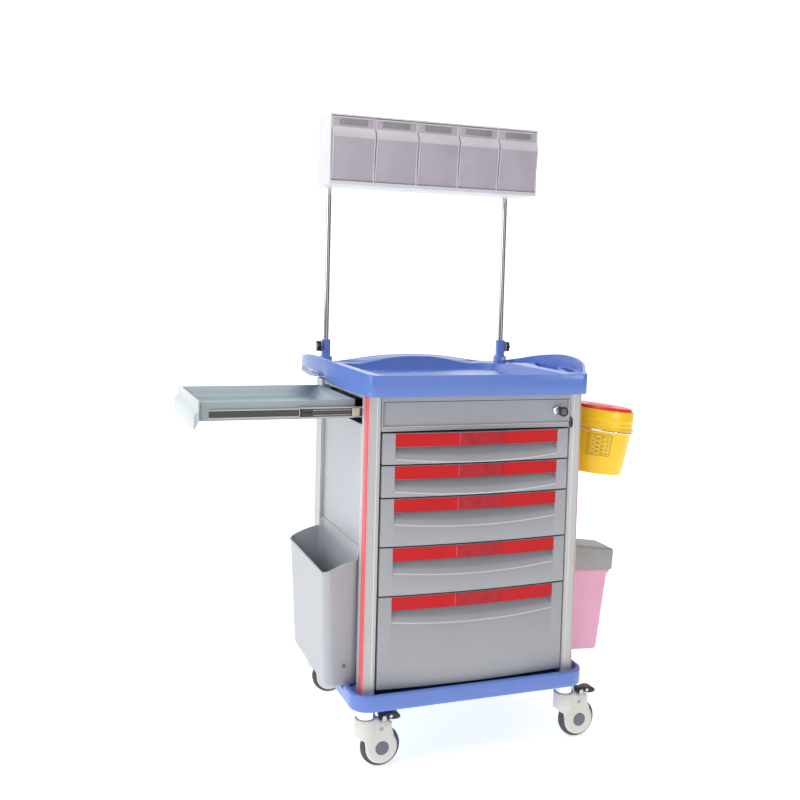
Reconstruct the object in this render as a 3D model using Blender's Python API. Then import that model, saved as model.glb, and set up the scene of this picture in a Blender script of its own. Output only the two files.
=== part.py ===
"""Emergency (crash) cart: moulded body on four aluminium columns, five drawers, a pull-out side
shelf, a rack of tilt bins on two poles, hung bins and four swivel casters.

Metres, +Z up, front towards -Y.  Sizes are worked out about the middle of the body; the empty
cart_origin then moves everything so that the row's origin is the bottom centre of the whole box.
"""
import math

import bmesh
import bpy
from mathutils import Matrix, Vector

# ---------------------------------------------------------------- driving dimensions
GAP = 0.0003                 # between touching pieces
BODY_W = 0.545               # over the columns, left to right
BODY_D = 0.465               # over the columns, front to back
COLUMN_W = 0.029             # column, seen from the front
COLUMN_D = 0.054             # column, seen from the side
COLUMN_WALL = 0.0025
PANEL_RECESS = 0.010         # side panels sit inside the columns' outer faces
PANEL_T = 0.003

BASE_BOTTOM = 0.144
BASE_DECK = 0.171            # the body stands on this
BASE_RIM = 0.184
BASE_OVERHANG = 0.029
BASE_CORNER = 0.047

TOP_UNDERSIDE = 0.871
TOP_FLOOR = 0.892            # sunken floor of the worktop
TOP_RIM = 0.921
TOP_FRONT_OVERHANG = 0.023
TOP_BACK = 0.2585
REAR_LEDGE = 0.910           # pole sockets stand on this
# the right side of the worktop from front to back: (y, x of the edge, z of the rim, z of the band's bottom)
WING = [(-0.234, 0.2840, 0.923, 0.872), (-0.200, 0.3000, 0.929, 0.876), (-0.150, 0.3260, 0.938, 0.884),
        (-0.100, 0.3400, 0.945, 0.892), (-0.086, 0.3424, 0.946, 0.910), (-0.050, 0.3470, 0.9485, 0.9125),
        (0.000, 0.3510, 0.949, 0.9145), (0.050, 0.3520, 0.946, 0.914), (0.100, 0.3475, 0.941, 0.911),
        (0.140, 0.3385, 0.9355, 0.897), (0.195, 0.3170, 0.924, 0.885), (0.228, 0.2960, 0.917, 0.875)]
WING_UNDERSIDE = 0.894       # of the plate inside the wings
TOP_FOOT_HALF = 0.2665       # the worktop stands on the columns within this

DRAWER_LINES = [0.7893, 0.7138, 0.6373, 0.5225, 0.4066, 0.1853]   # top of each gap
DRAWER_GAP = 0.0035
DRAWER_HALF = 0.2395
DRAWER_TRAVEL = 0.330
FRONT_BACK = -0.208          # back plane of the drawer fronts
FRONT_BOW = 0.012            # fronts swell this much in the middle
STRIP_HALF = 0.2085
STRIP_TOP = 0.0035           # below the front's top edge
STRIP_H = 0.028
PULL_DEPTH = 0.014
PULL_DROP = 0.027            # of the pull's lip at its two ends
PULL_SLOPE = 1.17            # fall of the pull's scoop for each metre forward
BOX_HALF = 0.2265
BOX_BACK = 0.170
RIB_DROP = 0.012             # drawer flange below the front's top edge

SHELF_OUT = 0.372            # grip panel past the columns, shelf fully out
SHELF_LENGTH = 0.360
SHELF_FRONT = -0.164
SHELF_BACK = 0.160
SHELF_RIM = 0.857
SHELF_BOTTOM = 0.814
SLIDE_Z = 0.829
SLIDE_H = 0.025
SLIDE_LENGTH = 0.335
SLIDE_STACK = 0.0125         # thickness of the three members together

POLE_X = 0.257
POLE_Y = 0.207
POLE_R = 0.007
POLE_FOOT = 0.640
POLE_TOP = 1.520
SOCKET_TOP = 0.974
KNOB_Z = 0.956

RACK_HALF = 0.2905
RACK_FRONT = 0.0825
RACK_BACK = 0.1985
RACK_TOP = 1.551
RACK_BOTTOM = 1.375
RACK_FLOOR = 1.384
RACK_WALL = 0.003
TILT_BINS = 5

CASTER_X = 0.261
CASTER_Y = 0.2205
WHEEL_R = 0.048
WHEEL_HALF = 0.011
TRAIL = 0.0365
HOOD_HALF = 0.019
NECK_R = 0.026
HOOD_TOP = 0.112
NECK_TOP = 0.119
AXLE_R = 0.004

LEFT_BIN_BACK = 0.503        # its back wall stands above the rim
LEFT_BIN_HALF = 0.174
LEFT_BIN_OUT = 0.0935
SHARPS_CENTRE = (0.386, -0.126)
SHARPS_TILT = math.radians(7.0)
SHARPS_RING_Z = 0.768
PINK_TILT = math.radians(3.5)

HALF_W = BODY_W / 2
HALF_D = BODY_D / 2
PANEL_X = HALF_W - PANEL_RECESS              # outer face of the side panels
COLUMN_IN = HALF_W - COLUMN_W                # inner faces of the columns
GRIP_FACE = HALF_W + SHELF_OUT + 0.0125      # leftmost face of the cart
RIGHT_END = 0.479422                           # rightmost point, on the sharps ring
FRONT_END = -HALF_D - BASE_OVERHANG
BACK_END = HALF_D + BASE_OVERHANG
ORIGIN_SHIFT = Vector(((GRIP_FACE - RIGHT_END) / 2, -(FRONT_END + BACK_END) / 2, 0))

# ---------------------------------------------------------------- scene and collections
for old in list(bpy.data.objects):
    bpy.data.objects.remove(old, do_unlink=True)

cart = bpy.data.collections.new("crash_cart")
cutters = bpy.data.collections.new("cutters")
for collection in (cart, cutters):
    bpy.context.scene.collection.children.link(collection)

cart_origin = bpy.data.objects.new("cart_origin", None)
cart_origin.location = ORIGIN_SHIFT
cart.objects.link(cart_origin)


def material(name, colour, roughness=0.45, metallic=0.0, alpha=1.0):
    made = bpy.data.materials.new(name)
    made.use_nodes = True
    shader = made.node_tree.nodes["Principled BSDF"]
    shader.inputs["Base Color"].default_value = (*colour, 1.0)
    shader.inputs["Roughness"].default_value = roughness
    shader.inputs["Metallic"].default_value = metallic
    shader.inputs["Alpha"].default_value = alpha
    return made


BLUE = material("blue_abs", (0.15, 0.24, 0.66))
GREY = material("grey_abs", (0.36, 0.37, 0.41))
PALE = material("pale_panel", (0.62, 0.64, 0.67))
ALUMINIUM = material("aluminium", (0.70, 0.69, 0.67), 0.35, 0.8)
STEEL = material("dark_steel", (0.12, 0.11, 0.11), 0.4, 0.9)
CHROME = material("chrome", (0.80, 0.80, 0.82), 0.15, 1.0)
SHEET = material("grey_green_sheet", (0.25, 0.32, 0.36), 0.4, 0.3)
WHITE = material("white_plastic", (0.85, 0.86, 0.86))
CLEAR = material("clear_plastic", (0.60, 0.56, 0.62), 0.15, 0.0, 0.5)
BLACK = material("black_plastic", (0.03, 0.03, 0.03))
YELLOW = material("yellow_plastic", (0.90, 0.44, 0.02))
RED = material("red_plastic", (0.75, 0.03, 0.05))
PINK = material("pink_plastic", (0.75, 0.36, 0.53))
LID_GREY = material("lid_grey", (0.30, 0.31, 0.32))
RUBBER = material("grey_rubber", (0.07, 0.07, 0.08), 0.7)
CREAM = material("cream_nylon", (0.74, 0.72, 0.67))


# ---------------------------------------------------------------- tools
def finish(name, bm):
    bmesh.ops.recalc_face_normals(bm, faces=bm.faces)
    mesh = bpy.data.meshes.new(name)
    bm.to_mesh(mesh)
    bm.free()
    return mesh


def put(name, mesh, paint, at=(0, 0, 0), parent=cart_origin):
    """One sub-part: its mesh is drawn in the parent's frame, and its origin is set at the point at."""
    mesh.transform(Matrix.Translation(-Vector(at)))
    mesh.materials.append(paint)
    made = bpy.data.objects.new(name, mesh)
    made.location = at
    made.parent = parent
    cart.objects.link(made)
    return made


def empty(name, place, turn=(0, 0, 0)):
    made = bpy.data.objects.new(name, None)
    made.location = place
    made.rotation_euler = turn
    made.parent = cart_origin
    cart.objects.link(made)
    return made


def combine(target, mesh, operation):
    """A Boolean of the target with a mesh that is drawn in the same frame as the target's own."""
    mesh.transform(Matrix.Translation(-target.location))
    tool = bpy.data.objects.new(f"{target.name}_tool", mesh)
    tool.parent = target
    tool.hide_render = True
    tool.display_type = 'WIRE'
    cutters.objects.link(tool)
    boolean = target.modifiers.new(operation.lower(), 'BOOLEAN')
    boolean.operation = operation
    boolean.object = tool


def cut(target, mesh):
    combine(target, mesh, 'DIFFERENCE')


def join(target, mesh):
    combine(target, mesh, 'UNION')


def block(name, low, high):
    """A box from its two corners."""
    low, high = Vector(low), Vector(high)
    bm = bmesh.new()
    bmesh.ops.create_cube(bm, size=1.0)
    size = Matrix.Diagonal((*(high - low), 1.0))
    bmesh.ops.transform(bm, matrix=Matrix.Translation((low + high) / 2) @ size, verts=bm.verts)
    return finish(name, bm)


AXIS_TURNS = {
    "X": Matrix.Rotation(math.pi / 2, 4, 'Y'),
    "Y": Matrix.Rotation(-math.pi / 2, 4, 'X'),
    "Z": Matrix.Identity(4),
}


def drum(name, radius, low, high, axis="Z", centre=(0, 0), sides=24, far_radius=None):
    """A cylinder or cone between two stations on an axis; centre is the other two coordinates."""
    far = radius if far_radius is None else far_radius
    bm = bmesh.new()
    bmesh.ops.create_cone(bm, cap_ends=True, segments=sides, radius1=radius, radius2=far, depth=high - low)
    bmesh.ops.transform(bm, matrix=AXIS_TURNS[axis], verts=bm.verts)
    place = list(centre)
    place.insert("XYZ".index(axis), (low + high) / 2)
    bmesh.ops.translate(bm, vec=place, verts=bm.verts)
    return finish(name, bm)


def mesh_of(curve_object):
    """A curve object's solid as a mesh with its caps welded; the curve is removed."""
    bpy.context.view_layer.update()
    shape = curve_object.evaluated_get(bpy.context.evaluated_depsgraph_get())
    mesh = bpy.data.meshes.new_from_object(shape)
    mesh.transform(curve_object.matrix_world)
    bm = bmesh.new()
    bm.from_mesh(mesh)
    bmesh.ops.remove_doubles(bm, verts=bm.verts, dist=0.00001)
    bpy.data.objects.remove(curve_object, do_unlink=True)
    return finish(mesh.name, bm)


def curve_object(name, points, dimensions, closed):
    curve = bpy.data.curves.new(name, 'CURVE')
    curve.dimensions = dimensions
    spline = curve.splines.new('POLY')
    spline.points.add(len(points) - 1)
    for control, point in zip(spline.points, points):
        control.co = (*point, 1.0)
    spline.use_cyclic_u = closed
    made = bpy.data.objects.new(name, curve)
    bpy.context.scene.collection.objects.link(made)
    return made


def prism(name, outline, low, high, axis):
    """A flat outline made solid along an axis.  Its points are (y, z), (x, z) or (x, y)."""
    flat = [(a, b, 0.0) for a, b in outline]
    made = curve_object(name, flat, '2D', True)
    made.data.fill_mode = 'BOTH'
    made.data.extrude = (high - low) / 2
    mesh = mesh_of(made)
    order = {"X": ((0, 0, 1), (1, 0, 0), (0, 1, 0)), "Y": ((1, 0, 0), (0, 0, 1), (0, 1, 0)),
             "Z": ((1, 0, 0), (0, 1, 0), (0, 0, 1))}[axis]
    mesh.transform(Matrix(order).to_4x4())
    shift = Vector((0, 0, 0))
    shift["XYZ".index(axis)] = (low + high) / 2
    mesh.transform(Matrix.Translation(shift))
    bm = bmesh.new()
    bm.from_mesh(mesh)
    return finish(name, bm)


def wire(name, points, radius, resolution=2, closed=False):
    made = curve_object(name, points, '3D', closed)
    made.data.bevel_depth = radius
    made.data.bevel_resolution = resolution
    made.data.use_fill_caps = not closed
    return mesh_of(made)


def loft(name, rings):
    """A solid through rings of equally many points, closed by a face at each end."""
    bm = bmesh.new()
    rows = [[bm.verts.new(point) for point in ring] for ring in rings]
    count = len(rings[0])
    for row, above in zip(rows, rows[1:]):
        for i in range(count):
            j = (i + 1) % count
            bm.faces.new((row[i], row[j], above[j], above[i]))
    bm.faces.new(reversed(rows[0]))
    bm.faces.new(rows[-1])
    return finish(name, bm)


def rounded(low, high, radius, arc=4, side=1):
    """Points of a rounded rectangle, anticlockwise, with extra points along its sides."""
    corners = [(high[0], high[1], 0), (low[0], high[1], 1), (low[0], low[1], 2), (high[0], low[1], 3)]
    points = []
    for x, y, quarter in corners:
        centre_x = x - radius if x == high[0] else x + radius
        centre_y = y - radius if y == high[1] else y + radius
        for step in range(arc + 1):
            angle = (quarter + step / arc) * math.pi / 2
            points.append((centre_x + radius * math.cos(angle), centre_y + radius * math.sin(angle)))
    full = []
    for index, point in enumerate(points):
        full.append(point)
        if index % (arc + 1) == arc:
            after = points[(index + 1) % len(points)]
            for step in range(1, side):
                share = step / side
                full.append(tuple(a + (b - a) * share for a, b in zip(point, after)))
    return full


def flat_ring(points, z):
    return [(x, y, z) for x, y in points]


def open_box(name, low, high, wall):
    """Five walls and no lid."""
    bm = bmesh.new()
    bmesh.ops.create_cube(bm, size=1.0)
    lid = [face for face in bm.faces if face.normal.z > 0.5]
    bmesh.ops.delete(bm, geom=lid, context='FACES_ONLY')
    low, high = Vector(low), Vector(high)
    size = Matrix.Diagonal((*(high - low), 1.0))
    bmesh.ops.transform(bm, matrix=Matrix.Translation((low + high) / 2) @ size, verts=bm.verts)
    bmesh.ops.solidify(bm, geom=bm.faces[:], thickness=wall)
    return finish(name, bm)


def smooth_step(value):
    value = min(max(value, 0.0), 1.0)
    return value * value * (3 - 2 * value)


# ---------------------------------------------------------------- frame
def base_tray():
    half_x = HALF_W + BASE_OVERHANG
    half_y = HALF_D + BASE_OVERHANG

    def ring(inset, z):
        low = (-half_x + inset, -half_y + inset)
        high = (half_x - inset, half_y - inset)
        return flat_ring(rounded(low, high, BASE_CORNER - inset, arc=6), z)

    rings = [ring(0.006, BASE_BOTTOM), ring(0, BASE_BOTTOM + 0.006), ring(0, BASE_RIM - 0.003),
             ring(0.003, BASE_RIM), ring(0.010, BASE_RIM), ring(0.015, BASE_DECK)]
    tray = put("base_tray", loft("base_tray", rings), BLUE)
    cut(tray, block("hollow", (-0.215, -0.240, 0.13), (0.215, 0.240, BASE_DECK - 0.007)))
    cut(tray, block("cross_hollow", (-0.280, -0.180, 0.13), (0.280, 0.180, BASE_DECK - 0.0075)))
    cut(tray, block("left_bin_notch", (-0.310, -0.172, BASE_DECK - 0.001), (-0.276, 0.172, 0.190)))


def columns():
    for name, side, end in (("front_left", -1, -1), ("front_right", 1, -1),
                            ("rear_left", -1, 1), ("rear_right", 1, 1)):
        outer_x = side * HALF_W
        outer_y = end * HALF_D
        xs = sorted((outer_x, outer_x - side * COLUMN_W))
        ys = sorted((outer_y, outer_y - end * COLUMN_D))
        low = BASE_DECK + GAP
        high = TOP_UNDERSIDE - GAP
        outside = rounded((xs[0], ys[0]), (xs[1], ys[1]), 0.004, arc=2)
        column = put(f"column_{name}", prism("column", outside, low, high, "Z"), ALUMINIUM,
                     at=(sum(xs) / 2, sum(ys) / 2, low))
        inner_low = (xs[0] + COLUMN_WALL, ys[0] + COLUMN_WALL, low - 0.01)
        inner_high = (xs[1] - COLUMN_WALL, ys[1] - COLUMN_WALL, high + 0.01)
        cut(column, block("hollow", inner_low, inner_high))
        groove_x = sorted((outer_x - side * 0.0012, outer_x + side * 0.01))
        groove_y = sorted((outer_y - end * 0.003, outer_y - end * 0.040))
        cut(column, block("groove", (groove_x[0], groove_y[0], low - 0.01), (groove_x[1], groove_y[1], high + 0.01)))


def drawer_top(index):
    return DRAWER_LINES[index] - DRAWER_GAP


def side_panels():
    """Each panel carries the ribs that its side of the drawers slides on: a comb, drawn in X and Z."""
    inner = PANEL_X - PANEL_T
    rib_end = BOX_HALF + 0.001
    reach = HALF_D - COLUMN_D - GAP
    for name, side, top in (("left", -1, 0.795), ("right", 1, TOP_UNDERSIDE - GAP)):
        comb = [(PANEL_X, BASE_DECK + GAP), (PANEL_X, top), (inner, top)]
        for index in range(5):
            rib_top = drawer_top(index) - RIB_DROP - 0.0034
            comb += [(inner, rib_top), (rib_end, rib_top), (rib_end, rib_top - 0.006), (inner, rib_top - 0.006)]
        comb.append((inner, BASE_DECK + GAP))
        outline = [(side * x, z) for x, z in comb]
        put(f"{name}_panel", prism("panel", outline, -reach, reach, "Y"), PALE)


def rear_panel():
    low = (-COLUMN_IN + GAP, HALF_D - 0.008, BASE_DECK + GAP)
    high = (COLUMN_IN - GAP, HALF_D - 0.005, TOP_UNDERSIDE - GAP)
    put("rear_panel", block("rear_panel", low, high), PALE)


def fascia():
    low = (-COLUMN_IN + GAP, -HALF_D, DRAWER_LINES[0] + 0.0005)
    high = (COLUMN_IN - GAP, -HALF_D + 0.010, TOP_UNDERSIDE - GAP)
    panel = put("top_fascia", block("top_fascia", low, high), GREY)
    cut(panel, block("recess", (-0.2385, -HALF_D - 0.01, 0.801), (0.2385, -HALF_D + 0.003, 0.858)))
    cut(panel, drum("bore", 0.0100, -HALF_D - 0.01, -HALF_D + 0.02, "Y", (LOCK_X, LOCK_Z)))


def upper_deck():
    """Sheet above the drawers, turned up at front and back to carry the shelf's slides."""
    front = SHELF_FRONT - SLIDE_STACK - 2 * GAP
    back = SHELF_BACK + SLIDE_STACK + 2 * GAP
    sheet = 0.0012
    low, high = 0.7912, SLIDE_Z + SLIDE_H / 2
    outline = [(front - sheet, high), (front - sheet, low), (back + sheet, low), (back + sheet, high),
               (back, high), (back, low + sheet), (front, low + sheet), (front, high)]
    reach = PANEL_X - PANEL_T - GAP
    put("upper_deck", prism("upper_deck", outline, -reach, COLUMN_IN - 0.001, "X"), ALUMINIUM)


# ---------------------------------------------------------------- worktop
def worktop_edge():
    """Points round the worktop, anticlockwise from the middle of the right side: (x, y, rim, bottom)."""
    front = -HALF_D - TOP_FRONT_OVERHANG
    right = [(x, y, rim, bottom) for y, x, rim, bottom in WING]
    front_half = [(0.262 * i / 10, front, TOP_RIM, TOP_UNDERSIDE + 0.0005) for i in range(11)]
    for angle in (22.5, 45, 67.5):
        turn = math.radians(angle)
        point = (0.262 + 0.020 * math.sin(turn), front + 0.020 * (1 - math.cos(turn)))
        front_half.append((*point, TOP_RIM + 0.001, TOP_UNDERSIDE + 0.0008))
    rear_half = []
    for angle in (22.5, 45, 67.5):
        turn = math.radians(angle)
        point = (0.266 + 0.022 * math.cos(turn), TOP_BACK - 0.022 * (1 - math.sin(turn)))
        rear_half.append((*point, 0.9135, TOP_UNDERSIDE + 0.0012))
    for i in range(10, -1, -1):
        guard = 0.910 + 0.0205 * math.cos(math.pi * min(i / 9, 1.0) / 2) ** 2
        rear_half.append((0.0266 * i, TOP_BACK, guard, TOP_UNDERSIDE + 0.0012))
    half = front_half + right + rear_half
    mirrored = [(-x, y, rim, bottom) for x, y, rim, bottom in reversed(half[1:-1])]
    return half + mirrored


def worktop_ring(edge, inset, height):
    """The edge moved inwards, each point at a height made from its x, y, rim and bottom."""
    ring = []
    for index, (x, y, rim, bottom) in enumerate(edge):
        before = Vector(edge[index - 1][:2])
        after = Vector(edge[(index + 1) % len(edge)][:2])
        along = (after - before).normalized()
        inner_x = x - along.y * inset
        inner_y = y + along.x * inset
        ring.append((inner_x, inner_y, height(inner_x, inner_y, rim, bottom)))
    return ring


def ledge_height(x, y, rim, bottom):
    """Inner side of the rim: level round the well, lower at the rear where the pole sockets stand."""
    ledge = 0.918 + (REAR_LEDGE - 0.918) * smooth_step((y - 0.10) / 0.06)
    if y > 0.1 and abs(x) < 0.20:
        ledge += (rim - 0.0015 - ledge) * smooth_step((0.20 - abs(x)) / 0.03)
    return min(ledge, rim - 0.001)


def wing_share(x):
    """0 along the front and rear, rising to 1 where the side wings stand out from the body."""
    return smooth_step((abs(x) - 0.286) / 0.016)


def foot_ring(edge, height):
    """The outline of the part of the underside that rests on the body."""
    ring = []
    for (x, y, z), point in zip(worktop_ring(edge, 0.014, lambda *place: 0.0), edge):
        side = min(max(x, -TOP_FOOT_HALF), TOP_FOOT_HALF)
        ring.append((side, y, height(wing_share(point[0]))))
    return ring


def grip_ring(edge):
    """Where the underside of a wing starts to rise towards its edge as a finger grip."""
    ring = []
    for index, (x, y, rim, bottom) in enumerate(edge):
        share = wing_share(x)
        depth = 0.011 + 0.019 * share
        inner = worktop_ring(edge, depth, lambda *place: 0.0)[index]
        side = inner[0]
        if share > 0.01:
            side = math.copysign(max(abs(side), TOP_FOOT_HALF + 0.0025), side)
        ring.append((side, inner[1], TOP_UNDERSIDE + 0.0006 + (WING_UNDERSIDE - TOP_UNDERSIDE) * share))
    return ring


def worktop():
    edge = worktop_edge()
    rise = WING_UNDERSIDE - TOP_UNDERSIDE
    well, foot = [], []
    for x, y, rim, bottom in edge:
        reach_x, reach_y = (0.238, 0.225)
        middle_y = -0.0195
        outward = Vector((x / 0.300, (y - middle_y) / 0.245))
        share = (abs(outward.x) ** 10 + abs(outward.y) ** 10) ** 0.1
        point = (outward.x / share * reach_x, middle_y + outward.y / share * reach_y)
        well.append((*point, ledge_height(*point, rim, bottom)))
        foot.append((point[0] * 0.975, middle_y + (point[1] - middle_y) * 0.973, TOP_FLOOR))
    rings = [foot_ring(edge, lambda share: TOP_UNDERSIDE),
             foot_ring(edge, lambda share: TOP_UNDERSIDE + 0.0008 + rise * share),
             grip_ring(edge),
             worktop_ring(edge, 0.006, lambda x, y, rim, bottom: bottom + 0.0005),
             worktop_ring(edge, 0.0, lambda x, y, rim, bottom: bottom),
             worktop_ring(edge, 0.0, lambda x, y, rim, bottom: rim),
             worktop_ring(edge, 0.005, lambda x, y, rim, bottom: rim),
             worktop_ring(edge, 0.008, ledge_height), well, foot]
    top = put("worktop", loft("worktop", rings), BLUE)
    cut(top, block("underside", (-0.235, -0.170, 0.850), (0.235, 0.170, TOP_FLOOR - 0.006)))
    for side in (-1, 1):
        near = [(0.268, -0.165), (0.290, -0.165), (0.316, -0.105), (0.326, -0.050), (0.312, -0.048)]
        far = [(0.268, -0.118), (0.304, -0.048), (0.326, -0.010), (0.326, 0.035), (0.304, 0.020), (0.268, -0.030)]
        for pocket in (near, far):
            cut(top, prism("pocket", [(side * x, y) for x, y in pocket], 0.85, 0.97, "Z"))
        cut(top, drum("pole_hole", POLE_R + 0.0006, 0.85, 0.95, "Z", (side * POLE_X, POLE_Y)))


def pole_sockets():
    for name, side in (("left", -1), ("right", 1)):
        x = side * POLE_X

        def square(half, z):
            return flat_ring(rounded((x - half, POLE_Y - half), (x + half, POLE_Y + half), 0.005, arc=3), z)

        step = REAR_LEDGE + 0.019
        rings = [square(0.0145, REAR_LEDGE + 0.0015), square(0.0145, step), square(0.0105, step + 0.001),
                 square(0.0105, SOCKET_TOP)]
        socket = put(f"pole_socket_{name}", loft("socket", rings), BLUE, at=(x, POLE_Y, REAR_LEDGE))
        cut(socket, drum("bore", POLE_R + 0.0003, 0.90, 0.99, "Z", (x, POLE_Y)))


# ---------------------------------------------------------------- mast and tilt bins
def mast():
    for name, side in (("left", -1), ("right", 1)):
        centre = (side * POLE_X, POLE_Y)
        pole = put(f"pole_{name}", drum("pole", POLE_R, POLE_FOOT, POLE_TOP, "Z", centre), CHROME,
                   at=(*centre, POLE_FOOT))
        cut(pole, drum("bore", POLE_R - 0.0015, POLE_FOOT - 0.01, POLE_TOP - 0.004, "Z", centre))
        lobes = [(POLE_Y + (0.0130 + 0.0018 * math.cos(6 * a)) * math.cos(a),
                  KNOB_Z + (0.0130 + 0.0018 * math.cos(6 * a)) * math.sin(a))
                 for a in (math.tau * i / 36 for i in range(36))]
        near = side * (POLE_X + 0.0105)
        head = sorted((near + side * 0.0030, near + side * 0.0150))
        stem = sorted((near + side * GAP, near + side * 0.0040))
        knob = put(f"clamp_knob_{name}", prism("knob", lobes, head[0], head[1], "X"), BLACK,
                   at=(near, POLE_Y, KNOB_Z))
        join(knob, drum("stem", 0.0045, stem[0], stem[1], "X", (POLE_Y, KNOB_Z), sides=16))


def bin_span(index):
    """Left and right faces of one tilt bin's bay."""
    divider = 0.002
    bay = (2 * RACK_HALF - 2 * RACK_WALL - (TILT_BINS - 1) * divider) / TILT_BINS
    left = -RACK_HALF + RACK_WALL + index * (bay + divider)
    return left, left + bay


def rack():
    low = (-RACK_HALF, RACK_FRONT, RACK_BOTTOM)
    high = (RACK_HALF, RACK_BACK, RACK_TOP)
    frame = put("bin_rack", block("bin_rack", low, high), WHITE)
    for index in range(TILT_BINS):
        left, right = bin_span(index)
        cut(frame, block("bay", (left, RACK_FRONT - 0.01, RACK_FLOOR), (right, RACK_BACK - 0.003, RACK_TOP - 0.004)))
    # (y, z) points of a bin seen from its end, counted from the rack's front and floor
    outer = [(0.000, 0.160), (-0.001, 0.136), (-0.013, 0.116), (-0.012, 0.106), (0.001, 0.003), (0.010, 0.001),
             (0.034, 0.001), (0.062, 0.014), (0.094, 0.118)]
    inner = [(0.002, 0.175), (0.001, 0.136), (-0.011, 0.115), (-0.010, 0.106), (0.003, 0.005), (0.010, 0.003),
             (0.033, 0.003), (0.061, 0.015), (0.0925, 0.120), (0.0925, 0.175)]
    for index in range(TILT_BINS):
        left, right = bin_span(index)
        left += 0.0006
        right -= 0.0006
        place = ((left + right) / 2, RACK_FRONT + 0.006, RACK_FLOOR + 0.010)
        shape = [(RACK_FRONT + y, RACK_FLOOR + z) for y, z in outer]
        hollow = [(RACK_FRONT + y, RACK_FLOOR + z) for y, z in inner]
        tray = put(f"tilt_bin_{index + 1}", prism("tilt_bin", shape, left, right, "X"), CLEAR, at=place)
        cut(tray, prism("hollow", hollow, left + 0.002, right - 0.002, "X"))


# ---------------------------------------------------------------- drawers
def drawers():
    arc = 14
    for index in range(5):
        top = drawer_top(index)
        bottom = DRAWER_LINES[index + 1] + 0.0002
        radius = (DRAWER_HALF ** 2 + FRONT_BOW ** 2) / (2 * FRONT_BOW)
        half_angle = math.asin(DRAWER_HALF / radius)
        outline = [(DRAWER_HALF, FRONT_BACK), (-DRAWER_HALF, FRONT_BACK)]
        for step in range(arc + 1):
            angle = -half_angle + 2 * half_angle * step / arc
            sag = radius * (1 - math.cos(angle))
            outline.append((radius * math.sin(angle), -HALF_D - FRONT_BOW + sag))
        middle = (0, -HALF_D, (top + bottom) / 2)
        front = put(f"drawer_front_{index + 1}", prism("front", outline, bottom, top, "Z"), GREY, at=middle)
        strip_low = top - STRIP_TOP - STRIP_H
        scoop = [(-0.300, strip_low), (-HALF_D + PULL_DEPTH, strip_low),
                 (-HALF_D + PULL_DEPTH, strip_low - PULL_DROP + PULL_SLOPE * PULL_DEPTH),
                 (-0.260, strip_low - PULL_DROP - PULL_SLOPE * (0.260 - HALF_D)),
                 (-0.300, strip_low - PULL_DROP - PULL_SLOPE * (0.260 - HALF_D))]
        cut(front, prism("scoop", scoop, -STRIP_HALF, STRIP_HALF, "X"))
        box_low = (-BOX_HALF, FRONT_BACK + GAP, bottom + 0.004)
        box_high = (BOX_HALF, BOX_BACK, top - RIB_DROP)
        box = put(f"drawer_box_{index + 1}", open_box("box", box_low, box_high, 0.002), WHITE, at=middle)
        for side in (-1, 1):
            xs = sorted((side * (BOX_HALF - 0.001), side * 0.240))
            low = (xs[0], FRONT_BACK + GAP + 0.001, top - RIB_DROP - 0.003)
            join(box, block("flange", low, (xs[1], BOX_BACK - 0.001, top - RIB_DROP - 0.0002)))


# ---------------------------------------------------------------- side shelf
def side_shelf():
    face = -HALF_W - SHELF_OUT
    left = face + GAP
    right = left + SHELF_LENGTH

    def ring(inset, z):
        low = (left + inset, SHELF_FRONT + inset)
        high = (right - inset, SHELF_BACK - inset)
        return flat_ring(rounded(low, high, 0.006 + inset * 0.3, arc=2), z)

    rings = [ring(0.0, SHELF_BOTTOM), ring(0.0, SHELF_RIM), ring(0.004, SHELF_RIM), ring(0.028, SHELF_RIM - 0.028)]
    put("shelf_tray", loft("shelf_tray", rings), SHEET, at=(face, 0, SHELF_BOTTOM))
    sheet = 0.003
    step = 0.0095
    grip = [(face, 0.860), (face - sheet, 0.860), (face - sheet, 0.838), (face - sheet - step, 0.827),
            (face - sheet - step, 0.797), (face - step, 0.797), (face - step, 0.8255), (face, 0.8365)]
    put("shelf_grip", prism("shelf_grip", grip, -0.1725, 0.1735, "Y"), PALE, at=(face, 0, SHELF_BOTTOM))

    member = SLIDE_STACK / 3 - GAP / 3
    lengths = {"inner": (face + 0.020, SLIDE_LENGTH, 0.021), "middle": (-0.4205, SLIDE_LENGTH, SLIDE_H),
               "outer": (-0.2785, 0.360, SLIDE_H)}
    for end, wall, away in (("front", SHELF_FRONT, -1), ("rear", SHELF_BACK, 1)):
        for order, kind in enumerate(("inner", "middle", "outer")):
            start, length, height = lengths[kind]
            near = wall + away * (GAP + order * (member + GAP / 2))
            ys = sorted((near, near + away * (member - GAP / 2)))
            low = (start, ys[0], SLIDE_Z - height / 2)
            high = (start + length, ys[1], SLIDE_Z + height / 2)
            put(f"slide_{kind}_{end}", block("slide", low, high), STEEL, at=(start, ys[0], SLIDE_Z))


# ---------------------------------------------------------------- lock
LOCK_X = 0.2075
LOCK_Z = 0.831


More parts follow.
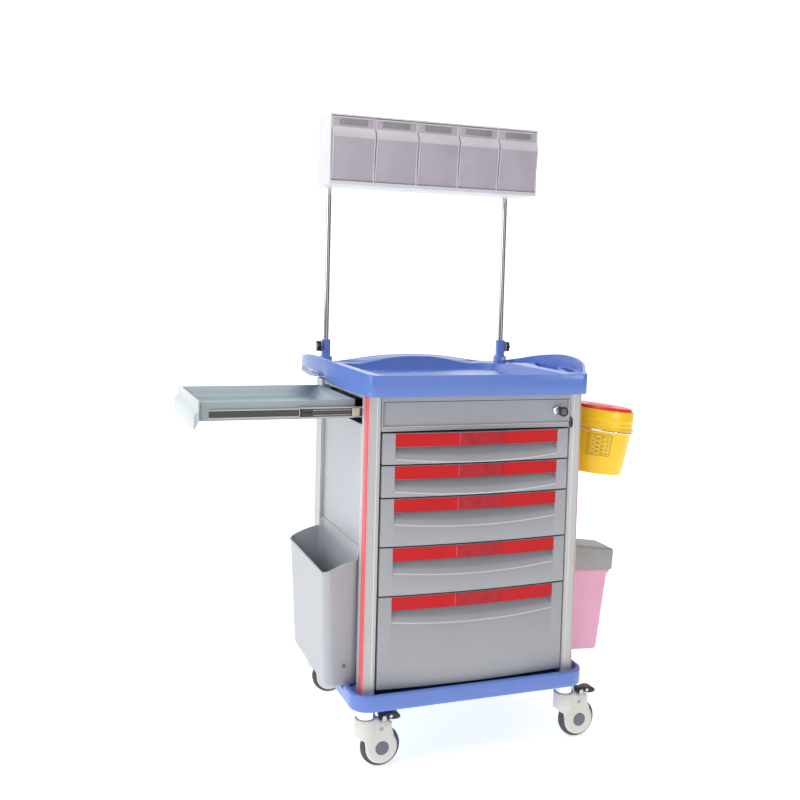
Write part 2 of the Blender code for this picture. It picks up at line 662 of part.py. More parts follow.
def lock():
    recess = -HALF_D + 0.003
    barrel = put("lock_barrel", drum("barrel", 0.0115, recess - 0.0075, recess - GAP, "Y", (LOCK_X, LOCK_Z)), CHROME,
                 at=(LOCK_X, recess, LOCK_Z))
    join(barrel, drum("body", 0.0094, recess - 0.001, recess + 0.024, "Y", (LOCK_X, LOCK_Z)))
    cut(barrel, drum("plug_bore", 0.0050, recess - 0.02, recess + 0.012, "Y", (LOCK_X, LOCK_Z)))
    key = put("lock_key", drum("plug", 0.0046, recess - 0.016, recess + 0.008, "Y", (LOCK_X, LOCK_Z)), BLACK,
              at=(LOCK_X, recess, LOCK_Z))
    join(key, drum("bow", 0.0120, recess - 0.021, recess - 0.0155, "Y", (LOCK_X + 0.0085, LOCK_Z - 0.002)))
    bow = [(-0.0046, -0.002), (-0.0028, 0.002), (0.0028, 0.002), (0.0046, -0.002), (0.0046, -0.024),
           (0.0030, -0.029), (0.0018, -0.029), (0.0018, -0.044), (-0.0018, -0.044), (-0.0018, -0.029),
           (-0.0030, -0.029), (-0.0046, -0.024)]
    hang = (LOCK_X + 0.0378, LOCK_Z - 0.018)      # beside the top drawer, which can pass it
    swing = math.radians(-2)
    outline = [(hang[0] + x * math.cos(swing) + z * math.sin(swing), hang[1] - x * math.sin(swing) + z * math.cos(swing))
               for x, z in bow]
    put("spare_key", prism("spare_key", outline, recess - 0.0070, recess - 0.0045, "Y"), BLACK,
        at=(hang[0], recess - 0.006, hang[1]))


# ---------------------------------------------------------------- hung bins
def left_bin():
    inner_face = -PANEL_X - GAP
    wall = 0.0025

    def ring(out, half, z_in, z_out, inset):
        outer_x = -PANEL_X - out + inset
        points = rounded((outer_x, -half + inset), (inner_face - inset, half - inset), 0.020 - inset, arc=4, side=4)
        ring_points = []
        for x, y in points:
            share = min(max((inner_face - x) / (inner_face - outer_x), 0.0), 1.0)
            height = z_in + (z_out - z_in) * (1 - math.cos(share * math.pi / 2))
            if z_in > z_out and share < 0.1:
                height = LEFT_BIN_BACK
            ring_points.append((x, y, height))
        return ring_points

    rings = [ring(0.074, 0.158, 0.1716, 0.1716, 0.004), ring(0.080, 0.162, 0.181, 0.181, 0.0),
             ring(LEFT_BIN_OUT, LEFT_BIN_HALF, 0.480, 0.452, 0.0), ring(LEFT_BIN_OUT, LEFT_BIN_HALF, 0.480, 0.452, wall),
             ring(0.080, 0.162, 0.183, 0.183, wall), ring(0.076, 0.160, 0.1755, 0.1755, 0.006)]
    put("left_bin", loft("left_bin", rings), GREY, at=(-PANEL_X, 0, 0.1716))


def sharps():
    frame = empty("sharps_frame", (*SHARPS_CENTRE, SHARPS_RING_Z), (0, SHARPS_TILT, 0))

    def turned(name, profile, paint):
        """Circular rings of (radius, height), as one closed solid."""
        rings = [[(r * math.cos(math.tau * i / 32), r * math.sin(math.tau * i / 32), z) for i in range(32)]
                 for r, z in profile]
        put(name, loft(name, rings), paint, parent=frame)

    turned("sharps_container", [(0.072, -0.111), (0.0755, -0.108), (0.0870, 0.003), (0.0915, 0.0035), (0.0915, 0.0065),
                                (0.0874, 0.0080), (0.0864, 0.052), (0.0838, 0.052), (0.0838, 0.003),
                                (0.0735, -0.106), (0.070, -0.109)], YELLOW)
    turned("sharps_lid", [(0.0828, 0.0455), (0.0828, 0.0530), (0.0800, 0.0580), (0.0768, 0.0605)], RED)
    ring_r = 0.0920
    start = math.radians(174)
    route = [(ring_r * math.cos(a), ring_r * math.sin(a), 0.0) for a in
             (start - 2 * start * i / 40 for i in range(41))]
    to_panel = Matrix.Rotation(-SHARPS_TILT, 3, 'Y') @ Vector((PANEL_X + 0.0008 - SHARPS_CENTRE[0], 0, 0))
    first, last = Vector(route[0]), Vector(route[-1])
    lead_in = (to_panel.x, first.y, to_panel.z)
    lead_out = (to_panel.x, last.y, to_panel.z)
    route = [lead_in] + route + [lead_out]
    put("sharps_ring", wire("sharps_ring", route, 0.0022), CHROME, parent=frame)


def pink_bin():
    frame = empty("pink_bin_frame", (PANEL_X + 0.004, -0.117, 0.197), (0, PINK_TILT, 0))

    def ring(out, half, z, inset=0.0):
        return flat_ring(rounded((0.001 + inset, -half + inset), (out - inset, half - inset), 0.012 - inset, arc=3), z)

    wall = 0.002
    body = [ring(0.124, 0.036, 0.0, 0.002), ring(0.127, 0.038, 0.003), ring(0.137, 0.0425, 0.203),
            ring(0.142, 0.0455, 0.204), ring(0.142, 0.0455, 0.213), ring(0.142, 0.0455, 0.213, 0.003),
            ring(0.137, 0.0425, 0.202, wall + 0.001), ring(0.127, 0.038, 0.005, wall)]
    put("pink_bin", loft("pink_bin", body), PINK, at=(0, 0, 0.211), parent=frame)
    rim = rounded((0.001, -0.0485), (0.147, 0.0485), 0.012, arc=3)
    crown = [(x, y, 0.279 - 0.08 * x) for x, y in rounded((0.005, -0.0445), (0.143, 0.0445), 0.010, arc=3)]
    cover = [flat_ring(rim, 0.2135), [(x, y, 0.275 - 0.08 * x) for x, y in rim], crown]
    lid = put("pink_bin_lid", loft("pink_bin_lid", cover), LID_GREY, at=(0.002, 0, 0.273), parent=frame)
    cut(lid, block("hollow", (0.004, -0.0455, 0.20), (0.144, 0.0455, 0.255)))


# ---------------------------------------------------------------- casters
def hood_outline():
    """Side view of a caster's hood; x from the swivel axis, z from the floor."""
    disc = [(TRAIL + 0.0385 * math.cos(a), WHEEL_R + 0.0385 * math.sin(a))
            for a in (math.radians(36 - 15.5 * i) for i in range(15))]
    neck = [(-0.006, 0.066), (-0.016, 0.072), (-0.020, 0.078)]
    shoulder = [(-0.020, NECK_TOP), (0.0265, NECK_TOP), (0.0310, HOOD_TOP), (0.054, HOOD_TOP), (0.062, 0.105),
                (0.061, 0.094)]
    return disc + neck + shoulder


def casters():
    for name, x, y, brake in (("front_left", -CASTER_X, -CASTER_Y, True), ("front_right", CASTER_X, -CASTER_Y, True),
                              ("rear_left", -CASTER_X, CASTER_Y, False), ("rear_right", CASTER_X, CASTER_Y, False)):
        hub = (x + TRAIL, WHEEL_R)
        outline = [(x + a, z) for a, z in hood_outline()]
        fork = put(f"caster_fork_{name}", prism("fork", outline, y - HOOD_HALF, y + HOOD_HALF, "Y"), CREAM,
                   at=(x, y, HOOD_TOP))
        join(fork, drum("neck", NECK_R, 0.0779, NECK_TOP - 0.0003, "Z", (x, y), far_radius=NECK_R - 0.001))
        cut(fork, drum("slot", WHEEL_R + 0.0035, y - WHEEL_HALF - 0.0008, y + WHEEL_HALF + 0.0008, "Y", hub, sides=32))
        join(fork, drum("axle", AXLE_R, y - HOOD_HALF + 0.001, y + HOOD_HALF - 0.001, "Y", hub, sides=16))
        join(fork, drum("collar", 0.0215, NECK_TOP - 0.002, BASE_BOTTOM - GAP, "Z", (x, y)))
        wheel = put(f"wheel_{name}", drum("wheel", WHEEL_R, y - WHEEL_HALF, y + WHEEL_HALF, "Y", hub, sides=40), RUBBER,
                    at=(hub[0], y, hub[1]))
        cut(wheel, drum("bore", AXLE_R + 0.0004, y - 0.02, y + 0.02, "Y", hub, sides=16))
        if brake:
            pedal(name, fork, x, y)


def pedal(name, fork, x, y):
    pivot = (x + 0.042, HOOD_TOP + 0.0075)
    for side in (-1, 1):
        ys = sorted((y + side * 0.0135, y + side * 0.0165))
        lug = [(x + 0.037, HOOD_TOP - 0.001), (x + 0.047, HOOD_TOP - 0.001), (x + 0.047, HOOD_TOP + 0.011),
               (x + 0.037, HOOD_TOP + 0.011)]
        join(fork, prism("lug", lug, ys[0], ys[1], "Y"))
    join(fork, drum("pin", 0.0018, y - 0.0155, y + 0.0155, "Y", pivot, sides=12))
    outline = [(x + 0.033, 0.1165), (x + 0.050, 0.1160), (x + 0.062, 0.1110), (x + 0.078, 0.1120), (x + 0.083, 0.1165),
               (x + 0.078, 0.1230), (x + 0.066, 0.1260), (x + 0.056, 0.1250), (x + 0.046, 0.1240), (x + 0.033, 0.1235)]
    lever = put(f"brake_pedal_{name}", prism("pedal", outline, y - 0.0130, y + 0.0130, "Y"), RUBBER,
                at=(pivot[0], y, pivot[1]))
    cut(lever, drum("bore", 0.0022, y - 0.02, y + 0.02, "Y", pivot, sides=12))


base_tray()
columns()
side_panels()
rear_panel()
fascia()
upper_deck()
worktop()
pole_sockets()
mast()
rack()
drawers()
side_shelf()
lock()
left_bin()
sharps()
pink_bin()
casters()
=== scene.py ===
"""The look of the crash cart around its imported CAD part: finer surfaces, materials, light and camera.

Shapes are drawn about the middle of the body, in metres, front towards -Y, and placed by SHIFT.
"""
import math

import bmesh
import bpy
from mathutils import Matrix, Vector


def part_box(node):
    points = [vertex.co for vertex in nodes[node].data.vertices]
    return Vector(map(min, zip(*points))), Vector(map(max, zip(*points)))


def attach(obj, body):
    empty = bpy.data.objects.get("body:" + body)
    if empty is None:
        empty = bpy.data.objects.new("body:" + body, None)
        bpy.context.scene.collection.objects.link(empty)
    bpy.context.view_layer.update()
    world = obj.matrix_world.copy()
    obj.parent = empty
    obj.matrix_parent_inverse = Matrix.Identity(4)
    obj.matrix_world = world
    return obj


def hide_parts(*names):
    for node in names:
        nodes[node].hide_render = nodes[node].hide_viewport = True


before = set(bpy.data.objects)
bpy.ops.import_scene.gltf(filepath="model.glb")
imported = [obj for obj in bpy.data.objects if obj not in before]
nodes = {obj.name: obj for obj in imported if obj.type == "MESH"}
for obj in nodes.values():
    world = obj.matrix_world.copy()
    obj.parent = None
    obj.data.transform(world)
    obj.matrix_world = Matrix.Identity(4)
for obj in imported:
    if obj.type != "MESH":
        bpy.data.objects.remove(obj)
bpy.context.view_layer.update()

low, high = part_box("top_fascia")
SHIFT = Vector(((low.x + high.x) / 2, 0, 0))
HALF_W, HALF_D = 0.2725, 0.2325


# ---- materials
def surface(name, colour, roughness=0.4, metallic=0.0, tint=0.04, size=18.0, grain=0.15, grain_size=900.0,
            coat=0.0, alpha=1.0, mottled=0.1, stretch=(1, 1, 1), specular=0.5):
    """A painted or moulded surface: cloudy tint, uneven gloss and a fine moulded grain."""
    made = bpy.data.materials.new(name)
    made.use_nodes = True
    tree = made.node_tree
    shader = tree.nodes["Principled BSDF"]
    link = tree.links.new

    def node(kind, **values):
        new = tree.nodes.new("ShaderNode" + kind)
        for socket, value in values.items():
            new.inputs[socket.replace("_", " ")].default_value = value
        return new

    for socket, value in (("Metallic", metallic), ("Coat Weight", coat), ("Coat Roughness", 0.12),
                          ("Alpha", alpha), ("Specular IOR Level", specular)):
        shader.inputs[socket].default_value = value
    scaled = node("Mapping", Scale=stretch)
    link(node("TexCoord").outputs["Object"], scaled.inputs["Vector"])
    cloud = node("TexNoise", Scale=size, Detail=4.0)
    link(scaled.outputs["Vector"], cloud.inputs["Vector"])
    ramp = node("ValToRGB")
    dark = [c * (1 - tint) for c in colour]
    light = [min(c * (1 + tint), 1.0) for c in colour]
    for element, position, shade in zip(ramp.color_ramp.elements, (0.3, 0.7), (dark, light)):
        element.position = position
        element.color = (*shade, 1.0)
    link(cloud.outputs["Fac"], ramp.inputs["Fac"])
    link(ramp.outputs["Color"], shader.inputs["Base Color"])
    gloss = node("MapRange", To_Min=max(roughness - mottled, 0.02), To_Max=min(roughness + mottled, 1.0))
    link(cloud.outputs["Fac"], gloss.inputs["Value"])
    link(gloss.outputs["Result"], shader.inputs["Roughness"])
    fine = node("TexNoise", Scale=grain_size, Detail=2.0)
    link(scaled.outputs["Vector"], fine.inputs["Vector"])
    bump = node("Bump", Strength=grain, Distance=0.0004)
    link(fine.outputs["Fac"], bump.inputs["Height"])
    link(bump.outputs["Normal"], shader.inputs["Normal"])
    return made


BLUE = surface("blue_abs", (0.128, 0.23, 0.65), 0.24, tint=0.03, grain=0.1, mottled=0.04, specular=0.6)
GREY = surface("grey_abs", (0.4, 0.408, 0.438), 0.42, tint=0.02, grain=0.2)
PALE = surface("pale_panel", (0.5, 0.518, 0.56), 0.42, tint=0.02)
BIN_GREY = surface("bin_grey", (0.44, 0.46, 0.495), 0.42, tint=0.02, grain=0.2)
ALUMINIUM = surface("anodised_aluminium", (0.56, 0.56, 0.56), 0.42, 0.1, tint=0.02, stretch=(1, 1, 0.02))
# Light grey for white trim parts, and also for the painted highlight lines on the columns' corners and
# ridges.
WHITE_TRIM_AND_HIGHLIGHT = surface("white_trim_and_highlight", (0.86, 0.86, 0.86), 0.3, 0.2, tint=0.02, stretch=(1, 1, 0.05))
STEEL = surface("slide_steel", (0.085, 0.08, 0.082), 0.35, 0.6, stretch=(0.05, 1, 1))
STEEL_EDGE = surface("slide_edge", (0.5, 0.5, 0.51), 0.3, 0.6, stretch=(0.05, 1, 1))
CHROME = surface("chrome", (0.82, 0.82, 0.84), 0.1, 1.0, tint=0.02, grain=0.02, mottled=0.03)
POLE = surface("pole_chrome", (0.66, 0.66, 0.68), 0.12, 1.0, tint=0.02, grain=0.0, mottled=0.02)
SHEET = surface("shelf_sheet", (0.35, 0.425, 0.455), 0.38, 0.1, tint=0.03)
SHELF_WHITE = surface("shelf_white", (0.56, 0.63, 0.64), 0.35, tint=0.02)
WHITE = surface("rack_white", (0.7, 0.7, 0.71), 0.35, tint=0.015)
TRAY_WHITE = surface("tray_white", (0.72, 0.72, 0.72), 0.5, tint=0.03)
CLEAR = surface("clear_lilac", (0.8, 0.72, 0.8), 0.14, tint=0.05, alpha=0.42, grain=0.05)
BIN_EDGE = surface("clear_bin_edge", (0.88, 0.84, 0.9), 0.2, tint=0.04, alpha=0.5, grain=0.05)
HOLDER = surface("bin_label_holder", (0.36, 0.335, 0.36), 0.25, tint=0.06, alpha=0.75, grain=0.05)
BLACK = surface("black_plastic", (0.022, 0.022, 0.024), 0.42, tint=0.2, grain=0.4)
SHADOW = surface("inner_dark", (0.03, 0.034, 0.05), 0.6, tint=0.2)
YELLOW = surface("yellow_pp", (0.95, 0.6, 0.012), 0.34, tint=0.03)
RED = surface("red_pp", (0.86, 0.03, 0.022), 0.32, tint=0.04, coat=0.1)
STRIP_RED = surface("drawer_strip_red", (0.62, 0.012, 0.016), 0.42, tint=0.06, specular=0.2)
WINDOW_RED = surface("label_window_red", (0.48, 0.022, 0.032), 0.3, tint=0.12, size=60, specular=0.2)
COLUMN_RED = surface("column_strip_red", (0.8, 0.115, 0.14), 0.4, tint=0.04, stretch=(1, 1, 0.1),
                     specular=0.3)
PINK = surface("pink_pp", (0.86, 0.43, 0.6), 0.45, tint=0.03)
LID_GREY = surface("lid_grey", (0.4, 0.4, 0.405), 0.45, tint=0.03)
RUBBER = surface("tyre_rubber", (0.075, 0.075, 0.078), 0.6, tint=0.1, grain=0.5)
CREAM = surface("cream_nylon", (0.73, 0.71, 0.655), 0.4, tint=0.02, coat=0.1)
CAP_GREY = surface("hub_cap_grey", (0.15, 0.155, 0.185), 0.45, tint=0.05)
SCREW = surface("screw_zinc", (0.62, 0.62, 0.64), 0.3, 0.7, tint=0.08, size=400)
SCREW_DARK = surface("screw_grey", (0.22, 0.22, 0.24), 0.35, 0.4, tint=0.08, size=400)
LABEL = surface("label_yellow", (0.84, 0.56, 0.03), 0.5, tint=0.08, size=120)
PRINT = surface("label_print", (0.24, 0.17, 0.02), 0.6, tint=0.3, size=300)
CREAM_CLIP = surface("clip_nylon", (0.62, 0.62, 0.47), 0.4, tint=0.1, size=150)


GAP = surface("gap_shadow", (0.045, 0.047, 0.055), 0.6, tint=0.2)
# A lighter copy of the drawer grey: painted highlight on the pull lips and on the foot and right edges of the
# fascia recess.
PAINTED_HIGHLIGHT_GREY = surface("painted_highlight_grey", (0.62, 0.63, 0.66), 0.35, tint=0.03)
KNOB_GREY = surface("knob_grey", (0.42, 0.43, 0.44), 0.4, tint=0.05)

# ---- shape tools
def finish(name, bm):
    bmesh.ops.recalc_face_normals(bm, faces=bm.faces)
    mesh = bpy.data.meshes.new(name)
    bm.to_mesh(mesh)
    bm.free()
    return mesh


def smooth(made, angle=35.0):
    for polygon in made.data.polygons:
        polygon.use_smooth = True
    made.data.set_sharp_from_angle(angle=math.radians(angle))


def settle(made):
    """Turns an object's modifiers into its mesh."""
    bpy.context.view_layer.update()
    shape = made.evaluated_get(bpy.context.evaluated_depsgraph_get())
    mesh = bpy.data.meshes.new_from_object(shape)
    made.modifiers.clear()
    made.data = mesh


def soften(made, width, segments=3, angle=35.0):
    """Rounds the edges that are sharper than an angle."""
    bevel = made.modifiers.new("round", 'BEVEL')
    bevel.width = width
    bevel.segments = segments
    bevel.limit_method = 'ANGLE'
    bevel.angle_limit = math.radians(angle)
    bevel.harden_normals = False


def piece(name, mesh, paint, body, stands_for=(), bevel=0.0, place=None, angle=35.0, segments=3):
    """One visual piece that rides on a CAD body and may stand for CAD nodes."""
    made = bpy.data.objects.new(name, mesh)
    bpy.context.scene.collection.objects.link(made)
    made.matrix_world = place if place else Matrix.Translation(SHIFT)
    mesh.materials.clear()
    mesh.materials.append(paint)
    if bevel:
        soften(made, bevel, segments)
    smooth(made, angle)
    if bevel:
        settle(made)
        smooth(made, 50)
    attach(made, body)
    if stands_for:
        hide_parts(*stands_for)
    return made


def dress(node, paint, bevel=0.0):
    """A CAD node shown as it is, with its edges rounded."""
    made = nodes[node]
    made.data.materials.clear()
    made.data.materials.append(paint)
    if bevel:
        weld = made.modifiers.new("weld", 'WELD')
        weld.merge_threshold = 0.00002
        soften(made, bevel, 2)
    for polygon in made.data.polygons:
        polygon.use_smooth = False


def block(low, high, name="block"):
    low, high = Vector(low), Vector(high)
    bm = bmesh.new()
    bmesh.ops.create_cube(bm, size=1.0)
    size = Matrix.Diagonal((*(high - low), 1.0))
    bmesh.ops.transform(bm, matrix=Matrix.Translation((low + high) / 2) @ size, verts=bm.verts)
    return finish(name, bm)


AXIS_TURNS = {
    "X": Matrix.Rotation(math.pi / 2, 4, 'Y'),
    "Y": Matrix.Rotation(-math.pi / 2, 4, 'X'),
    "Z": Matrix.Identity(4),
}


def drum(radius, low, high, axis="Z", centre=(0, 0), sides=48, far_radius=None):
    far = radius if far_radius is None else far_radius
    bm = bmesh.new()
    bmesh.ops.create_cone(bm, cap_ends=True, segments=sides, radius1=radius, radius2=far, depth=high - low)
    bmesh.ops.transform(bm, matrix=AXIS_TURNS[axis], verts=bm.verts)
    place = list(centre)
    place.insert("XYZ".index(axis), (low + high) / 2)
    bmesh.ops.translate(bm, vec=place, verts=bm.verts)
    return finish("drum", bm)


def lathe(profile, sides=64, axis="Z", centre=(0, 0, 0)):
    """Rings of (radius, height) about an axis, closed at the ends."""
    rings = [[(r * math.cos(math.tau * i / sides), r * math.sin(math.tau * i / sides),
               z) for i in range(sides)]
             for r, z in profile]
    mesh = loft(rings)
    mesh.transform(AXIS_TURNS[axis])
    mesh.transform(Matrix.Translation(centre))
    return mesh


def loft(rings, closed_ends=True):
    bm = bmesh.new()
    rows = [[bm.verts.new(point) for point in ring] for ring in rings]
    count = len(rings[0])
    for row, above in zip(rows, rows[1:]):
        for i in range(count):
            j = (i + 1) % count
            bm.faces.new((row[i], row[j], above[j], above[i]))
    if closed_ends:
        bm.faces.new(reversed(rows[0]))
        bm.faces.new(rows[-1])
    return finish("loft", bm)


def prism(outline, low, high, axis):
    """A flat outline made solid along an axis.  Its points are (y, z), (x, z) or (x, y)."""
    at = "XYZ".index(axis)

    def lifted(point, value):
        full = list(point)
        full.insert(at, value)
        return full

    return loft([[lifted(p, low) for p in outline], [lifted(p, high) for p in outline]])


def moved(mesh, x=0.0, y=0.0, z=0.0):
    mesh.transform(Matrix.Translation((x, y, z)))
    return mesh


def carve(mesh, *cutters, operation='DIFFERENCE'):
    """The mesh with the cutters' shapes taken away from it."""
    made = bpy.data.objects.new("carved", mesh)
    bpy.context.scene.collection.objects.link(made)
    tools = []
    for cutter in cutters:
        tool = bpy.data.objects.new("cutter", cutter)
        bpy.context.scene.collection.objects.link(tool)
        boolean = made.modifiers.new("cut", 'BOOLEAN')
        boolean.operation = operation
        boolean.object = tool
        tools.append(tool)
    settle(made)
    result = made.data
    for tool in tools + [made]:
        bpy.data.objects.remove(tool)
    return result


def rounded(low, high, radius, arc=6, side=1):
    corners = [(high[0], high[1], 0), (low[0], high[1], 1), (low[0], low[1], 2), (high[0], low[1], 3)]
    points = []
    for x, y, quarter in corners:
        centre_x = x - radius if x == high[0] else x + radius
        centre_y = y - radius if y == high[1] else y + radius
        for step in range(arc + 1):
            angle = (quarter + step / arc) * math.pi / 2
            points.append((centre_x + radius * math.cos(angle), centre_y + radius * math.sin(angle)))
    full = []
    for index, point in enumerate(points):
        full.append(point)
        if index % (arc + 1) == arc:
            after = points[(index + 1) % len(points)]
            for step in range(1, side):
                full.append(tuple(a + (b - a) * step / side for a, b in zip(point, after)))
    return full


def flat_ring(points, z):
    return [(x, y, z) for x, y in points]


def inset(outline, distance):
    """A closed outline of (a, b) points moved inwards, anticlockwise."""
    result = []
    for index, point in enumerate(outline):
        before = Vector(outline[index - 1])
        after = Vector(outline[(index + 1) % len(outline)])
        along = (after - before).normalized()
        result.append((point[0] - along.y * distance, point[1] + along.x * distance))
    return result


def wire(points, radius, closed=False, resolution=4):
    curve = bpy.data.curves.new("wire", 'CURVE')
    curve.dimensions = '3D'
    spline = curve.splines.new('POLY')
    spline.points.add(len(points) - 1)
    for control, point in zip(spline.points, points):
        control.co = (*point, 1.0)
    spline.use_cyclic_u = closed
    curve.bevel_depth = radius
    curve.bevel_resolution = resolution
    curve.use_fill_caps = True
    made = bpy.data.objects.new("wire", curve)
    bpy.context.scene.collection.objects.link(made)
    bpy.context.view_layer.update()
    mesh = bpy.data.meshes.new_from_object(made.evaluated_get(bpy.context.evaluated_depsgraph_get()))
    bpy.data.objects.remove(made)
    return mesh


def flipped(mesh):
    """The mesh turned to face -Y."""
    mesh.transform(Matrix.Rotation(math.pi, 4, 'Z'))
    return mesh


def button(name, profile, sides, place, paint, body, stands_for=(), facing=-1):
    """A small turned piece, such as a screw head, on a face that looks along Y."""
    mesh = lathe(profile, sides, "Y")
    if facing < 0:
        flipped(mesh)
    return piece(name, moved(mesh, *place), paint, body, stands_for, angle=30)


def smooth_step(value):
    value = min(max(value, 0.0), 1.0)
    return value * value * (3 - 2 * value)


def between(table, value, column):
    """Smooth interpolation down a table whose first column is sorted."""
    rows = list(table)
    if value <= rows[0][0]:
        return rows[0][column]
    for index in range(len(rows) - 1):
        a, b = rows[index], rows[index + 1]
        if value <= b[0]:
            before = rows[index - 1] if index else a
            after = rows[index + 2] if index + 2 < len(rows) else b
            span = b[0] - a[0]
            t = (value - a[0]) / span
            slope_a = (b[column] - before[column]) / max(b[0] - before[0], 1e-9) * span
            slope_b = (after[column] - a[column]) / max(after[0] - a[0], 1e-9) * span
            h1 = 2 * t ** 3 - 3 * t ** 2 + 1
            h2 = t ** 3 - 2 * t ** 2 + t
            h3 = -2 * t ** 3 + 3 * t ** 2
            h4 = t ** 3 - t ** 2
            return h1 * a[column] + h2 * slope_a + h3 * b[column] + h4 * slope_b
    return rows[-1][column]


# ---- worktop
TOP_RIM, TOP_UNDERSIDE, TOP_FLOOR = 0.921, 0.871, 0.892
TOP_FRONT, TOP_BACK, REAR_LEDGE = -0.2555, 0.2585, 0.91
WING = [(-0.234, 0.284, 0.923, 0.872), (-0.2, 0.3, 0.929, 0.876), (-0.15, 0.326, 0.938, 0.884),
        (-0.103, 0.3395, 0.9447, 0.892), (-0.088, 0.3422, 0.946, 0.9085), (-0.05, 0.347, 0.9485, 0.9125),
        (0.000, 0.351, 0.949, 0.9145), (0.05, 0.352, 0.946, 0.914), (0.1, 0.3475, 0.941, 0.911),
        (0.14, 0.3385, 0.9355, 0.897), (0.195, 0.317, 0.924, 0.885), (0.228, 0.296, 0.917, 0.875)]
POLE_X, POLE_Y, POLE_R, KNOB_Z = 0.257, 0.207, 0.007, 0.956


def worktop_edge():
    front_half = [(0.262 * i / 16, TOP_FRONT, TOP_RIM, TOP_UNDERSIDE + 0.0005) for i in range(17)]
    for step in range(1, 6):
        turn = math.radians(90 * step / 6)
        front_half.append((0.262 + 0.02 * math.sin(turn), TOP_FRONT + 0.02 * (1 - math.cos(turn)),
                           TOP_RIM + 0.0003 * step, TOP_UNDERSIDE + 0.0006))
    right = []
    for step in range(61):
        y = -0.234 + 0.462 * step / 60
        right.append((between(WING, y, 1), y, between(WING, y, 2), between(WING, y, 3)))
    rear_half = []
    for step in range(1, 6):
        turn = math.radians(90 * step / 6)
        x, y = 0.266 + 0.022 * math.cos(turn), TOP_BACK - 0.022 * (1 - math.sin(turn))
        rear_half.append((x, y, 0.9135, 0.8722))
    for i in range(40, -1, -1):
        share = i / 40
        guard = 0.91 + 0.0205 * math.cos(math.pi * min(share / 0.94, 1.0) ** 1.35 / 2) ** 2
        rear_half.append((0.266 * share, TOP_BACK, guard, 0.8722))
    half = front_half + right + rear_half
    mirrored = [(-x, y, rim, bottom) for x, y, rim, bottom in reversed(half[1:-1])]
    return half + mirrored


def ledge_height(x, y, rim):
    ledge = 0.918 + (REAR_LEDGE - 0.918) * smooth_step((y - 0.1) / 0.06)
    if y > 0.1 and abs(x) < 0.2:
        ledge += (rim - 0.0015 - ledge) * smooth_step((0.2 - abs(x)) / 0.03)
    return min(ledge, rim - 0.001)


def worktop():
    edge = worktop_edge()

    def ring(distance, height):
        rows = zip(inset(flat_edge, distance), edge)
        return [(x, y, height(x, y, rim, bottom)) for (x, y), (a, b, rim, bottom) in rows]

    def well_ring(shrink, height):
        points = []
        for x, y, rim, bottom in edge:
            middle = -0.0195
            out = Vector((x / 0.3, (y - middle) / 0.245))
            share = (abs(out.x) ** 10 + abs(out.y) ** 10) ** 0.1
            px = out.x / share * (0.238 - shrink)
            py = middle + out.y / share * (0.225 - shrink)
            points.append((px, py, height(px, py, rim)))
        return points

    def wing_share(x):
        return smooth_step((abs(x) - 0.286) / 0.016)

    flat_edge = [(x, y) for x, y, rim, bottom in edge]

    def foot_ring(lift):
        """Where the top stands on the columns; the wings outside it are hollow underneath."""
        points = []
        for (x, y), (edge_x, edge_y) in zip(inset(flat_edge, 0.014), flat_edge):
            rise = lift + (0.023 * wing_share(edge_x) if lift else 0.0)
            points.append((min(max(x, -0.2665), 0.2665), y, TOP_UNDERSIDE + rise))
        return points

    def grip_ring():
        points = []
        deep = [inset(flat_edge, 0.011 + 0.019 * step / 10) for step in range(11)]
        for index, (x, y, rim, bottom) in enumerate(edge):
            share = wing_share(x)
            px, py = deep[round(10 * share)][index]
            if share > 0.01:
                px = math.copysign(max(abs(px), 0.269), px)
            points.append((px, py, TOP_UNDERSIDE + 0.0006 + 0.023 * share))
        return points

    rings = [foot_ring(0.0), foot_ring(0.0008), grip_ring()]
    for distance, rise in ((0.005, 0.0006), (0.0025, 0.0), (0.0007, 0.0007), (0.0, 0.0025)):
        rings.append(ring(distance, lambda x, y, rim, bottom: bottom + rise))
    for distance, rise in ((0.0, -0.0025), (0.0007, -0.0008), (0.0024, 0.0), (0.005, -0.0003)):
        rings.append(ring(distance, lambda x, y, rim, bottom: rim + rise))
    rings.append(ring(0.0068, lambda x, y, rim, bottom: max(rim - 0.0016, ledge_height(x, y, rim))))
    rings.append(ring(0.0085, lambda x, y, rim, bottom: ledge_height(x, y, rim)))
    for shrink, drop in ((-0.0035, 0.0), (-0.001, 0.0008), (0.0, 0.003)):
        rings.append(well_ring(shrink, lambda x, y, rim: ledge_height(x, y, rim) - drop))
    for shrink, rise in ((0.004, 0.004), (0.0052, 0.0012), (0.008, 0.0)):
        rings.append(well_ring(shrink, lambda x, y, rim: TOP_FLOOR + rise))
    mesh = loft(rings)
    cutters = [block((-0.235, -0.17, 0.85), (0.235, 0.17, TOP_FLOOR - 0.006))]
    for side in (-1, 1):
        near = [(0.268, -0.17), (0.288, -0.17), (0.314, -0.115), (0.328, -0.055), (0.314, -0.045)]
        far = [(0.268, -0.12), (0.304, -0.048), (0.33, -0.015), (0.333, 0.05), (0.325, 0.105), (0.3, 0.08),
               (0.268, -0.01)]
        for pocket in (near, far):
            cutters.append(prism([(side * x, y) for x, y in pocket], 0.85, 0.97, "Z"))
        cutters.append(drum(POLE_R + 0.0006, 0.85, 0.95, "Z", (side * POLE_X, POLE_Y)))
    mesh = carve(mesh, *cutters)
    piece("worktop_shell", mesh, BLUE, "cart", ["worktop"], angle=40)


